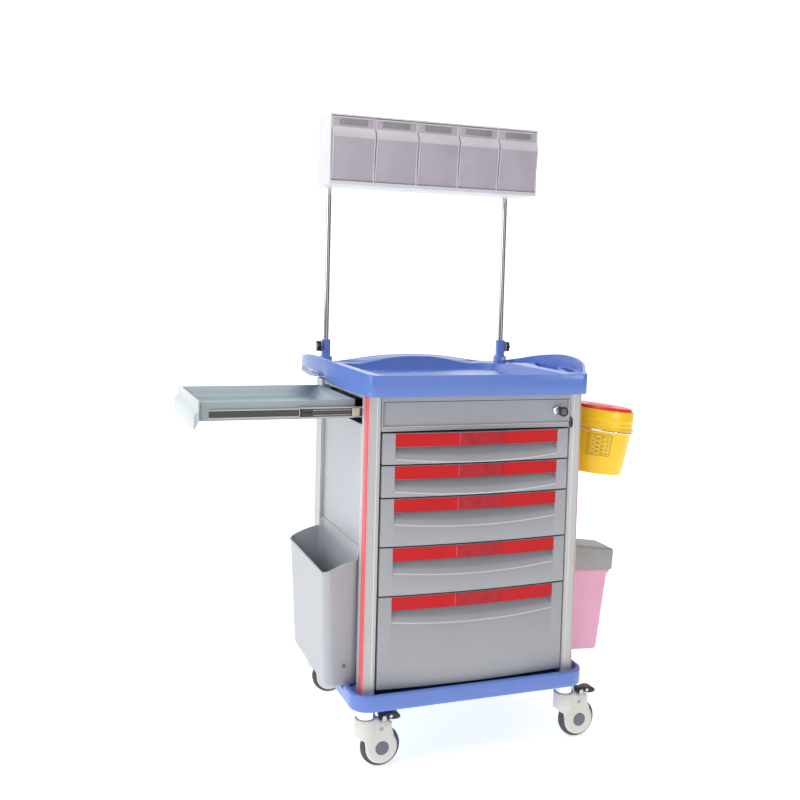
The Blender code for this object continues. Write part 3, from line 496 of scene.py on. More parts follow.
def sockets_and_mast():
    for name, side in (("left", -1), ("right", 1)):
        x = side * POLE_X

        def square(half, z):
            corners = (x - half, POLE_Y - half), (x + half, POLE_Y + half)
            return flat_ring(rounded(*corners, 0.0052, arc=6), z)

        step = REAR_LEDGE + 0.019
        rings = [(0.0148, REAR_LEDGE + 0.0003), (0.0148, step - 0.002), (0.014, step),
                 (0.0118, step + 0.0006), (0.0105, step + 0.003), (0.0105, 0.9725), (0.0098, 0.974)]
        mesh = carve(loft([square(*row) for row in rings]),
                     drum(POLE_R + 0.0003, 0.9, 0.99, "Z", (x, POLE_Y)))
        piece(f"socket_{name}", mesh, BLUE, "cart", [f"pole_socket_{name}"], angle=30)
        profile = [(0.0001, 0.64), (POLE_R, 0.64), (POLE_R, 1.5185), (POLE_R - 0.001, 1.52), (0.0001, 1.52)]
        pole = lathe(profile, 48, "Z", (x, POLE_Y, 0))
        piece(f"pole_tube_{name}", pole, POLE, "mast", [f"pole_{name}"], angle=30)
        near = side * (POLE_X + 0.0105)
        lobes = []
        for i in range(72):
            a = math.tau * i / 72
            r = 0.0128 + 0.0019 * math.cos(6 * a)
            lobes.append((POLE_Y + r * math.cos(a), KNOB_Z + r * math.sin(a)))
        head = sorted((near + side * 0.003, near + side * 0.015))
        body = f"knob_{name}"
        piece(f"knob_grip_{name}", prism(lobes, *head, "X"), BLACK, body, [f"clamp_knob_{name}"],
              bevel=0.0012)
        band_x = head[0] - 0.0001 if side > 0 else head[1] - 0.0015
        band = lathe([(0.01, 0.0), (0.0146, 0.0), (0.015, 0.0008), (0.0146, 0.0016), (0.01, 0.0016)], 48,
                     "X", (band_x, POLE_Y, KNOB_Z))
        piece(f"knob_band_{name}", band, KNOB_GREY, body, angle=30)
        for part, radius, reach, paint in (("stem", 0.0052, (0.0003, 0.004), SCREW),
                                           ("cap", 0.0085, (0.0149, 0.0156), KNOB_GREY)):
            ends = sorted(near + side * value for value in reach)
            piece(f"knob_{part}_{name}", drum(radius, *ends, "X", (POLE_Y, KNOB_Z)), paint, body)


# ---- rack and tilt bins
RACK_HALF, RACK_FRONT, RACK_BACK = 0.2905, 0.0825, 0.1985
RACK_TOP, RACK_BOTTOM, RACK_FLOOR = 1.551, 1.375, 1.384


def from_rack(points):
    return [(RACK_FRONT + y, RACK_FLOOR + z) for y, z in points]


def rack():
    wall, divider = 0.003, 0.002
    bay = (2 * RACK_HALF - 2 * wall - 4 * divider) / 5
    body = block((-RACK_HALF, RACK_FRONT, RACK_BOTTOM), (RACK_HALF, RACK_BACK, RACK_TOP))
    lefts = [-RACK_HALF + wall + index * (bay + divider) for index in range(5)]
    bays = [block((left, RACK_FRONT - 0.01, RACK_FLOOR), (left + bay, RACK_BACK - 0.003, RACK_TOP - 0.004))
            for left in lefts]
    piece("rack_shell", carve(body, *bays), WHITE, "mast", ["bin_rack"], bevel=0.0007)
    for index, left in enumerate(lefts):
        tilt_bin(index + 1, left + 0.0006, left + 0.0006 + bay - 0.0012)
    for number, z in enumerate((0.03, 0.085)):
        button(f"rack_screw_{number}", [(0.0001, 0.0), (0.003, 0.0), (0.0026, 0.001), (0.0001, 0.0012)], 24,
               (-RACK_HALF + 0.024, RACK_BACK - 0.0032, RACK_FLOOR + z), SCREW_DARK, "mast")


def tilt_bin(number, left, right):
    outer = from_rack(((0.000, 0.16), (-0.001, 0.136), (-0.0125, 0.117), (-0.013, 0.1135), (-0.0125, 0.108),
                       (0.0005, 0.0045), (0.0025, 0.0015), (0.01, 0.001), (0.034, 0.001), (0.045, 0.003),
                       (0.062, 0.014), (0.094, 0.118)))
    inner = from_rack(((0.002, 0.175), (0.001, 0.1365), (-0.0105, 0.1165), (-0.011, 0.1135), (-0.0105, 0.108),
                       (0.0028, 0.0052), (0.01, 0.003), (0.033, 0.003), (0.044, 0.005), (0.0605, 0.0155),
                       (0.0925, 0.12), (0.0925, 0.175)))
    rib = from_rack(((-0.013, 0.1085), (-0.0136, 0.1135), (-0.0132, 0.1165), (-0.002, 0.1345),
                     (-0.001, 0.134), (-0.0122, 0.116)))
    cheek = from_rack(((0.0002, 0.0045), (-0.0008, 0.0045), (-0.0136, 0.108), (-0.014, 0.1135),
                       (-0.0135, 0.1172), (-0.002, 0.1362), (-0.001, 0.16), (0.0004, 0.16),
                       (-0.0006, 0.1362), (-0.0121, 0.117), (-0.0126, 0.1135), (-0.0122, 0.108)))
    body = f"tilt_bin_{number}_body"
    tray = carve(prism(outer, left, right, "X"), prism(inner, left + 0.002, right - 0.002, "X"))
    piece(f"clear_bin_{number}", tray, CLEAR, body, [f"tilt_bin_{number}"], bevel=0.0005)
    piece(f"clear_bin_rib_{number}", prism(rib, left + 0.0005, right - 0.0005, "X"), BIN_EDGE, body)

    def plate(margin, front, back, low, high):
        return block((left + margin, RACK_FRONT - front, RACK_FLOOR + low),
                     (right - margin, RACK_FRONT - back, RACK_FLOOR + high))

    piece(f"clear_bin_brow_{number}", plate(0.0005, 0.0012, 0.0002, 0.157, 0.16), BIN_EDGE, body)
    for edge, x in (("left", left), ("right", right - 0.003)):
        piece(f"clear_bin_cheek_{edge}_{number}", prism(cheek, x, x + 0.003, "X"), BIN_EDGE, body)
    piece(f"bin_label_holder_{number}", plate(0.019, 0.002, 0.0012, 0.14, 0.1545), HOLDER, body, bevel=0.0003)
    piece(f"bin_label_rail_{number}", plate(0.015, 0.0018, 0.0011, 0.1375, 0.139), BIN_EDGE, body)


# ---- columns, panels, fascia
def columns_and_panels():
    for name, side, end in (("front_left", -1, -1), ("front_right", 1, -1),
                            ("rear_left", -1, 1), ("rear_right", 1, 1)):
        dress(f"column_{name}", ALUMINIUM, 0.0007)
        outer = side * HALF_W
        if end < 0:
            bulge = []
            for step in range(17):
                share = 2 * step / 16 - 1
                y = -HALF_D + 0.0165 + 0.0145 * share
                bulge.append((outer + side * (0.0042 * (1 - abs(share) ** 3) ** 0.5 - 0.0003), y))
            bulge += [(outer - side * 0.001, -HALF_D + 0.031), (outer - side * 0.001, -HALF_D + 0.002)]
            piece(f"column_strip_{name}", prism(bulge, 0.1715, 0.87, "Z"), COLUMN_RED, "cart", angle=50)
        # Light lines along both corners of each column's outer side: painted highlights on the edges.
        for near in (0.001, 0.0525):
            y = end * (HALF_D - near)
            xs = sorted((outer, outer + side * 0.0004))
            line = block((xs[0], y - 0.0009, 0.1716), (xs[1], y + 0.0009, 0.87))
            piece(f"column_edge_highlight_{name}_{int(near * 1000)}", line, WHITE_TRIM_AND_HIGHLIGHT, "cart")
        if end < 0:
            # A thin light strip on the front face: painted highlight on the ridge where the face folds.
            x = side * (HALF_W - 0.019)
            ridge_highlight = block((x - 0.0007, -HALF_D - 0.0005, 0.1716), (x + 0.0007, -HALF_D + 0.001, 0.87))
            piece(f"column_ridge_highlight_{name}", ridge_highlight, WHITE_TRIM_AND_HIGHLIGHT, "cart")
    for panel in ("left_panel", "right_panel", "rear_panel"):
        dress(panel, PALE, 0.0005)
    dress("top_fascia", GREY, 0.0008)
    dress("upper_deck", SHADOW)
    rail = block((-0.2665, -0.178, 0.859), (-0.2565, 0.178, 0.8695))
    piece("opening_rail", rail, WHITE_TRIM_AND_HIGHLIGHT, "cart", bevel=0.001)
    # Thin lines round the fascia's recess: painted shade along the top and left, painted highlight along the
    # foot and right.
    for name, low, high, paint in (("top", (-0.2385, 0.8572), (0.2385, 0.8584), GAP),
                                   ("left", (-0.2389, 0.801), (-0.2379, 0.8584), GAP),
                                   ("foot", (-0.2385, 0.8), (0.2385, 0.8012), PAINTED_HIGHLIGHT_GREY),
                                   ("right", (0.2378, 0.801), (0.239, 0.8584), PAINTED_HIGHLIGHT_GREY)):
        line = block((low[0], -HALF_D - 0.0003, low[1]), (high[0], -HALF_D + 0.0008, high[1]))
        piece(f"fascia_line_{name}", line, paint, "cart")


# ---- base tray
def base_tray():
    half_x, half_y, corner = HALF_W + 0.029, HALF_D + 0.029, 0.047

    def ring(distance, z):
        x, y = half_x - distance, half_y - distance
        return flat_ring(rounded((-x, -y), (x, y), corner - distance, arc=14), z)

    rows = ((0.006, 0.144), (0.0028, 0.145), (0.0008, 0.1475), (0.0, 0.151), (0.0, 0.18), (0.0008, 0.1825),
            (0.0026, 0.1838), (0.005, 0.184), (0.0086, 0.184), (0.0102, 0.1832), (0.0115, 0.18),
            (0.015, 0.172), (0.0165, 0.1711))
    tray = carve(loft([ring(*row) for row in rows]), block((-0.215, -0.24, 0.13), (0.215, 0.24, 0.164)),
                 block((-0.28, -0.18, 0.13), (0.28, 0.18, 0.1635)),
                 block((-0.31, -0.172, 0.17), (-0.276, 0.172, 0.19)))
    piece("base_shell", tray, BLUE, "cart", ["base_tray"], angle=40)


# ---- drawers
LINES = [0.7893, 0.7138, 0.6373, 0.5225, 0.4066, 0.1853]
BOW = 0.012


def bowed(half, depth, steps, offset=0.0):
    """Points along the bowed front face, from left to right."""
    radius = (0.2395 ** 2 + depth ** 2) / (2 * depth)
    points = []
    for step in range(steps + 1):
        x = -half + 2 * half * step / steps
        sag = radius - math.sqrt(radius ** 2 - x ** 2)
        points.append((x, -HALF_D - depth + sag - offset))
    return points


def drawers():
    for index in range(5):
        top = LINES[index] - 0.0035
        bottom = LINES[index + 1] + 0.0002
        name = index + 1
        outline = [(0.2395, -0.208), (-0.2395, -0.208)] + bowed(0.2395, BOW, 48)
        body = prism(outline, bottom, top, "Z")
        strip_low = top - 0.0315
        seat = [(x, y + 0.0016) for x, y in bowed(0.209, BOW, 48)] + [(0.209, -0.3), (-0.209, -0.3)]
        seat = prism(seat, strip_low, top + 0.01, "Z")
        front = carve(body, pull_hollow(strip_low), seat)
        piece(f"drawer_face_{name}", front, GREY, f"drawer_{name}", [f"drawer_front_{name}"], bevel=0.0009,
              segments=2, angle=30)
        # A rounded bead along the pull's lip in lighter grey: painted highlight where the lip catches the top
        # light.
        along = [-0.207 + 0.414 * step / 32 for step in range(33)]
        lip = [(x, face_point(x)[1] + 0.001, pull_lip(x, strip_low) - 0.0042) for x in along]
        piece(f"drawer_lip_highlight_{name}", wire(lip, 0.0017), PAINTED_HIGHLIGHT_GREY, f"drawer_{name}", angle=60)
        shade = [(0.238, -0.2085), (-0.238, -0.2085)] + [(x, y + 0.0045) for x, y in bowed(0.238, BOW, 48)]
        piece(f"drawer_gap_{name}", prism(shade, top + 0.0002, top + 0.0012, "Z"), GAP, f"drawer_{name}")
        label_strips(name, strip_low, top)
        dress(f"drawer_box_{name}", TRAY_WHITE)


def label_strips(name, strip_low, top):
    """The red strip, whose middle is the label's window."""
    face = bowed(0.2082, BOW, 48, 0.0004)
    for part, left, right, paint, lift in (("left", -0.2082, -0.053, STRIP_RED, 0.0),
                                           ("window", -0.0524, 0.0604, WINDOW_RED, 0.0003),
                                           ("right", 0.061, 0.2082, STRIP_RED, 0.0)):
        inside = [(x, y - lift) for x, y in face if left < x < right]
        along = [face_point(left, lift), *inside, face_point(right, lift)]
        behind = [(x, y + 0.0014 + lift) for x, y in reversed(along)]
        piece(f"label_strip_{part}_{name}", prism(along + behind, strip_low + 0.0003, top - 0.001, "Z"),
              paint,
              f"drawer_{name}", angle=40)
    # A thin lighter red line at the window's left edge: painted highlight where the edge catches the light.
    left, right = -0.0536, -0.0522
    line = [face_point(left, 0.0005), face_point(right, 0.0005), (right, face_point(right)[1] + 0.001),
            (left, face_point(left)[1] + 0.001)]
    piece(f"window_edge_highlight_{name}", prism(line, strip_low + 0.0006, top - 0.0012, "Z"), COLUMN_RED,
          f"drawer_{name}")


def pull_lip(x, strip_low):
    return strip_low - 0.0345 * (1 - 0.3 * (x / 0.2085) ** 2)


def pull_hollow(strip_low):
    """The finger hollow: deep under the strip, then swept out to a rounded lip that sags in the middle."""
    back = -HALF_D + 0.014
    rings = []
    for step in range(33):
        x = -0.2085 + 0.417 * step / 32
        front = face_point(x)[1]
        lip = pull_lip(x, strip_low)
        fall = lip - strip_low + 0.006
        profile = [(-0.3, strip_low), (back, strip_low), (back, strip_low - 0.005)]
        for part in range(1, 9):
            share = part / 8
            y = back + (front + 0.0035 - back) * share
            profile.append((y, strip_low - 0.005 + (fall + 0.006) * share ** 1.5))
        profile += [(front + 0.0012, lip + 0.0003), (front - 0.0004, lip - 0.0022),
                    (front - 0.001, lip - 0.006), (-0.3, lip - 0.0065)]
        rings.append([(x, y, z) for y, z in profile])
    return loft(rings)


def face_point(x, lift=0.0):
    radius = (0.2395 ** 2 + BOW ** 2) / (2 * BOW)
    return (x, -HALF_D - BOW + radius - math.sqrt(radius ** 2 - x ** 2) - 0.0004 - lift)


# ---- side shelf
def side_shelf():
    face = -HALF_W - 0.372
    left = face + 0.0003
    right = left + 0.36

    def ring(distance, z):
        return flat_ring(rounded((left + distance, -0.164 + distance), (right - distance, 0.16 - distance),
                                 0.006 + distance * 0.3, arc=6), z)

    rows = ((0.001, 0.814), (0.0, 0.815), (0.0, 0.8563), (0.0006, 0.857), (0.0034, 0.857), (0.0046, 0.8562),
            (0.015, 0.844), (0.017, 0.84), (0.026, 0.831), (0.029, 0.8292))
    piece("shelf_pan", loft([ring(*row) for row in rows]), SHEET, "shelf", ["shelf_tray"], angle=25)
    sheet, step = 0.003, 0.0095
    grip = [(face, 0.86), (face - sheet, 0.86), (face - sheet, 0.838), (face - sheet - step, 0.827),
            (face - sheet - step, 0.797), (face - step, 0.797), (face - step, 0.8255), (face, 0.8365)]
    panel = prism(list(reversed(grip)), -0.1725, 0.1735, "Y")
    piece("shelf_handle", panel, SHELF_WHITE, "shelf", ["shelf_grip"], bevel=0.0006)
    for end, y in (("front", -0.172), ("rear", 0.171)):
        gusset = [(face - 0.0005, 0.836), (face - 0.0092, 0.8262), (face - 0.0092, 0.7975),
                  (face - 0.0005, 0.815)]
        piece(f"handle_gusset_{end}", prism(gusset, y, y + 0.002, "Y"), SHELF_WHITE, "shelf")

    member = 0.0125 / 3 - 0.0001
    lengths = {"inner": (face + 0.02, 0.335, 0.021), "middle": (-0.4205, 0.335, 0.025),
               "outer": (-0.2785, 0.36, 0.025)}
    bodies = {"inner": "shelf", "middle": "shelf_middle_slides", "outer": "cart"}
    for end, wall, away in (("front", -0.164, -1), ("rear", 0.16, 1)):
        for order, kind in enumerate(("inner", "middle", "outer")):
            start, length, height = lengths[kind]
            near = wall + away * (0.0003 + order * (member + 0.00015))
            ys = sorted((near, near + away * (member - 0.00015)))
            z0, z1 = 0.829 - height / 2, 0.829 + height / 2
            bar = block((start, ys[0], z0), (start + length, ys[1], z1))
            face_y = ys[0] if away < 0 else ys[1]
            groove_y = sorted((face_y, face_y - away * 0.0012))
            outside = sorted((groove_y[away < 0], face_y + away * 0.002))
            channel = block((start - 0.01, outside[0], z0 + 0.0032),
                            (start + length + 0.01, outside[1], z1 - 0.0032))
            piece(f"slide_{kind}_bar_{end}", carve(bar, channel), STEEL_EDGE, bodies[kind],
                  [f"slide_{kind}_{end}"], bevel=0.0005)
            web = block((start + 0.001, groove_y[0] + 0.0001, z0 + 0.0034),
                        (start + length - 0.001, groove_y[1] - 0.0001, z1 - 0.0034))
            piece(f"slide_{kind}_web_{end}", web, STEEL, bodies[kind])
    front = -0.1686
    head = [(0.0001, 0.0), (0.0034, 0.0), (0.0034, 0.0006), (0.0026, 0.0011), (0.0001, 0.0012)]
    for name, x in (("a", face + 0.039), ("b", face + 0.157)):
        button(f"slide_screw_{name}", head, 32, (x, front + 0.0017, 0.829), SCREW, "shelf")
    channel_y = (-0.1724, -0.1713)
    for name, xs, zs, paint, bevel in (("clip", (-0.419, -0.412), (0.82, 0.838), BLACK, 0.0008),
                                       ("lever", (-0.41, -0.39), (0.8255, 0.8325), BLACK, 0.001),
                                       ("track_0", (-0.388, -0.298), (0.8224, 0.8236), STEEL_EDGE, 0.0),
                                       ("track_1", (-0.388, -0.298), (0.8339, 0.8351), STEEL_EDGE, 0.0),
                                       ("clip_white", (-0.42, -0.4191), (0.8215, 0.838), WHITE_TRIM_AND_HIGHLIGHT,
                                        0.0006)):
        fitting = block((xs[0], channel_y[0], zs[0]), (xs[1], channel_y[1], zs[1]))
        piece(f"slide_{name}", fitting, paint, "shelf_middle_slides", bevel=bevel)
    cage = block((-0.296, -0.1766, 0.8205), (-0.279, -0.1735, 0.8385))
    piece("slide_ball_cage", cage, CREAM_CLIP, "cart", bevel=0.0008)


# ---- lock and keys
def lock():
    x, z, recess = 0.2075, 0.831, -0.2295
    flange = [(0.0052, 0.0), (0.0115, 0.0), (0.0115, 0.005), (0.01, 0.0068), (0.0068, 0.0072),
              (0.0052, 0.006)]
    button("lock_flange", flange, 48, (x, recess - 0.0003, z), CHROME, "cart", ["lock_barrel"])
    plug = drum(0.0047, recess - 0.0158, recess + 0.008, "Y", (x, z))
    piece("lock_plug", plug, SCREW, "key", ["lock_key"])
    bow = [(x + 0.0085 + 0.012 * math.cos(math.tau * i / 48), z - 0.002 + 0.012 * math.sin(math.tau * i / 48))
           for i in range(48)]
    hole = drum(0.0022, recess - 0.03, recess, "Y", (x + 0.0165, z - 0.0065), sides=24)
    piece("key_bow", carve(prism(bow, recess - 0.021, recess - 0.0155, "Y"), hole), BLACK, "key", bevel=0.001)
    for step in range(3):
        rise = z - 0.0065 + 0.0045 * step
        ridge = block((x + 0.0025, recess - 0.0214, rise - 0.0006),
                      (x + 0.0145, recess - 0.0208, rise + 0.0006))
        piece(f"key_ridge_{step}", ridge, LID_GREY, "key")
    hang = (x + 0.0378, z - 0.018)
    ring_centre = Vector(((x + 0.0165 + hang[0]) / 2 + 0.002, recess - 0.0118, z - 0.015))
    ring = []
    along = Vector((hang[0] - x - 0.0165, 0.0125, -0.0125)).normalized()
    upright = Vector((0.25, -0.1, 1.0)).normalized()
    upright = (upright - along * upright.dot(along)).normalized()
    for i in range(40):
        a = math.tau * i / 40
        ring.append(ring_centre + along * 0.0125 * math.cos(a) + upright * 0.0085 * math.sin(a))
    piece("split_ring", wire(ring, 0.0005, closed=True), CHROME, "key")
    head = []
    for i in range(24):
        a = math.tau * i / 24
        head.append((hang[0] + 0.0046 * math.cos(a), hang[1] - 0.012 + 0.0135 * math.sin(a)))
    grip = carve(prism(head, recess - 0.007, recess - 0.0045, "Y"),
                 drum(0.0016, recess - 0.02, recess, "Y", (hang[0], hang[1] - 0.0025), sides=20))
    piece("spare_key_head", grip, BLACK, "spare", ["spare_key"], bevel=0.0006)
    blade = [(-0.0018, -0.024), (-0.0018, -0.04), (-0.0006, -0.0425), (0.0018, -0.0405), (0.0012, -0.038),
             (0.0018, -0.0355), (0.0011, -0.033), (0.0018, -0.0305), (0.0018, -0.024)]
    piece("spare_key_blade", prism([(hang[0] + a, hang[1] + b) for a, b in blade], recess - 0.0064,
                                   recess - 0.0051, "Y"),
          SCREW, "spare")


# ---- hung bins
def left_bin():
    inner_face = -0.2625 - 0.0003
    wall = 0.0025

    def ring(out, half, z_in, z_out, distance, back=None):
        outer_x = -0.2625 - out + distance
        points = rounded((outer_x, -half + distance), (inner_face - distance, half - distance),
                         0.02 - distance, arc=8, side=12)
        result = []
        for x, y in points:
            share = min(max((inner_face - x) / (inner_face - outer_x), 0.0), 1.0)
            z = z_in + (z_out - z_in) * (1 - math.cos(share * math.pi / 2))
            if back:
                z += (back - z) * smooth_step((0.14 - share) / 0.08)
            result.append((x, y, z))
        return result

    rows = ((0.07, 0.154, 0.1716, 0.1716, 0.006), (0.0765, 0.159, 0.173, 0.173, 0.002),
            (0.079, 0.161, 0.177, 0.177, 0.0), (0.08, 0.162, 0.183, 0.183, 0.0),
            (0.0929, 0.1736, 0.474, 0.446, 0.0, 0.4975), (0.095, 0.1755, 0.4755, 0.4475, 0.0, 0.499),
            (0.0953, 0.1758, 0.479, 0.451, 0.0, 0.502), (0.0947, 0.1752, 0.48, 0.452, 0.0, 0.503),
            (0.0935, 0.174, 0.48, 0.452, wall - 0.0008, 0.503), (0.0935, 0.174, 0.4785, 0.4505, wall, 0.5015),
            (0.08, 0.162, 0.185, 0.185, wall), (0.076, 0.159, 0.1755, 0.1755, 0.006))
    shell = loft([ring(*row) for row in rows])
    piece("left_bin_shell", shell, BIN_GREY, "left_bin_body", ["left_bin"], angle=45)
    head = [(0.0001, 0.0), (0.005, 0.0), (0.0048, 0.0012), (0.003, 0.002), (0.0001, 0.0022)]
    button("left_bin_screw", head, 24, (-0.3, -0.164, 0.224), SCREW_DARK, "left_bin_body")


SHARPS_TILT, RING_R = math.radians(7.0), 0.092


def sharps():
    place = Matrix.Translation(SHIFT + Vector((0.386, -0.126, 0.768))) @ Matrix.Rotation(SHARPS_TILT, 4, 'Y')
    shell = [(0.07, -0.111), (0.0735, -0.1105), (0.0755, -0.108), (0.081, -0.05), (0.0868, 0.002),
             (0.0895, 0.0032), (0.0915, 0.0038), (0.0915, 0.0062), (0.089, 0.0075), (0.0874, 0.0095),
             (0.0872, 0.015), (0.0878, 0.016), (0.0878, 0.0172), (0.087, 0.0182), (0.0868, 0.028),
             (0.0873, 0.029), (0.0873, 0.03), (0.0866, 0.031), (0.0865, 0.0495), (0.0858, 0.0515),
             (0.085, 0.052), (0.084, 0.0515), (0.0838, 0.003), (0.0735, -0.106), (0.07, -0.109)]
    piece("sharps_shell", lathe(shell, 96), YELLOW, "sharps", ["sharps_container"], place=place, angle=40)
    lid = lathe([(0.0828, 0.0455), (0.083, 0.0525), (0.082, 0.0545), (0.08, 0.0585), (0.079, 0.06),
                 (0.077, 0.0606), (0.074, 0.0606), (0.072, 0.0596), (0.05, 0.0596)], 96)
    piece("sharps_cover", lid, RED, "sharps_cap", ["sharps_lid"], place=place, angle=35)
    hatch = lathe([(0.034, 0.059), (0.034, 0.0605), (0.0325, 0.0612), (0.015, 0.0612)], 48)
    piece("sharps_hatch", hatch, RED, "sharps_cap", place=place, angle=35)
    start = math.radians(174)
    turns = [start - 2 * start * i / 90 for i in range(91)]
    route = [Vector((RING_R * math.cos(turn), RING_R * math.sin(turn), 0.0)) for turn in turns]
    to_panel = Matrix.Rotation(-SHARPS_TILT, 3, 'Y') @ Vector((0.2625 + 0.0008 - 0.386, 0, 0))
    route = [Vector((to_panel.x, route[0].y, to_panel.z)), *route,
             Vector((to_panel.x, route[-1].y, to_panel.z))]
    piece("sharps_wire", wire(route, 0.0022), CHROME, "cart", ["sharps_ring"], place=place, angle=60)

    def on_wall(angle, z, lift):
        """A point on the container's side."""
        radius = 0.0755 + (0.0868 - 0.0755) * (z + 0.108) / 0.11 + lift
        return (radius * math.cos(angle), radius * math.sin(angle), z)

    def patch(name, a0, a1, z0, z1, lift, paint, columns=16):
        bm = bmesh.new()
        angles = [a0 + (a1 - a0) * i / columns for i in range(columns + 1)]
        near = [[bm.verts.new(on_wall(a, z, lift)) for a in angles] for z in (z0, z1)]
        deep = [[bm.verts.new(on_wall(a, z, lift - 0.0005)) for a in angles] for z in (z0, z1)]
        for i in range(columns):
            bm.faces.new((near[0][i], near[0][i + 1], near[1][i + 1], near[1][i]))
            bm.faces.new((deep[0][i + 1], deep[0][i], deep[1][i], deep[1][i + 1]))
            for row in (0, 1):
                bm.faces.new((near[row][i], near[row][i + 1], deep[row][i + 1], deep[row][i]))
        for i in (0, columns):
            bm.faces.new((near[0][i], near[1][i], deep[1][i], deep[0][i]))
        piece(name, finish(name, bm), paint, "sharps", place=place, angle=50)

    left, right = math.radians(-137), math.radians(-93)
    patch("sharps_label", left, right, -0.064, -0.009, 0.0004, LABEL)
    for edge, (z0, z1) in (("top", (-0.0108, -0.0098)), ("bottom", (-0.0632, -0.0622))):
        patch(f"label_rule_{edge}", left + 0.02, right - 0.02, z0, z1, 0.0007, PRINT)
    for edge, angle in (("left", left + 0.02), ("right", right - 0.03)):
        patch(f"label_rule_{edge}", angle, angle + 0.012, -0.0632, -0.0098, 0.0007, PRINT, 2)
    for row in range(9):
        z = -0.015 - 0.0053 * row
        for column, (begin, reach) in enumerate(((0.06, 0.1), (0.18, 0.05), (0.26, 0.12), (0.42, 0.16),
                                                 (0.6, 0.08))):
            share = 0.55 + 0.45 * math.sin(3.1 * row + 2.3 * column)
            patch(f"label_bar_{row}_{column}", left + begin, left + begin + reach * share,
                  z - 0.001 - 0.0012 * share, z, 0.0007, PRINT, 4)


def pink_bin():
    tilt = math.radians(3.5)
    place = Matrix.Translation(SHIFT + Vector((0.2665, -0.117, 0.197))) @ Matrix.Rotation(tilt, 4, 'Y')

    def ring(out, half, z, distance=0.0):
        corners = (0.001 + distance, -half + distance), (out - distance, half - distance)
        return flat_ring(rounded(*corners, 0.012 - distance, arc=7), z)

    rows = ((0.124, 0.036, 0.0, 0.003), (0.1255, 0.037, 0.0008, 0.001), (0.127, 0.038, 0.004),
            (0.1365, 0.0423, 0.2), (0.137, 0.0425, 0.2015), (0.1405, 0.0445, 0.2025),
            (0.1412, 0.045, 0.2038), (0.142, 0.0455, 0.2115), (0.142, 0.0455, 0.213, 0.0008),
            (0.142, 0.0455, 0.213, 0.0026), (0.137, 0.0425, 0.202, 0.003), (0.127, 0.038, 0.005, 0.002))
    shell = loft([ring(*row) for row in rows])
    piece("pink_shell", shell, PINK, "pink_bin_body", ["pink_bin"], place=place, angle=40)

    def cover_ring(distance, z, slope=0.08):
        corners = (0.001 + distance, -0.0485 + distance), (0.147 - distance, 0.0485 - distance)
        points = rounded(*corners, 0.012 - distance * 0.5, arc=7)
        return [(x, y, z - slope * x) for x, y in points]

    rows = ((0.0, 0.2135, 0.0), (0.0, 0.2735), (0.0008, 0.2752), (0.003, 0.277), (0.005, 0.2782),
            (0.012, 0.2792))
    inside = block((0.004, -0.0455, 0.2), (0.144, 0.0455, 0.255))
    hood = carve(loft([cover_ring(*row) for row in rows]), inside)
    piece("pink_cover", hood, LID_GREY, "pink_lid", ["pink_bin_lid"], place=place, angle=30)


# ---- casters
WHEEL_R, TRAIL, HOOD_TOP, NECK_TOP = 0.048, 0.0365, 0.112, 0.119


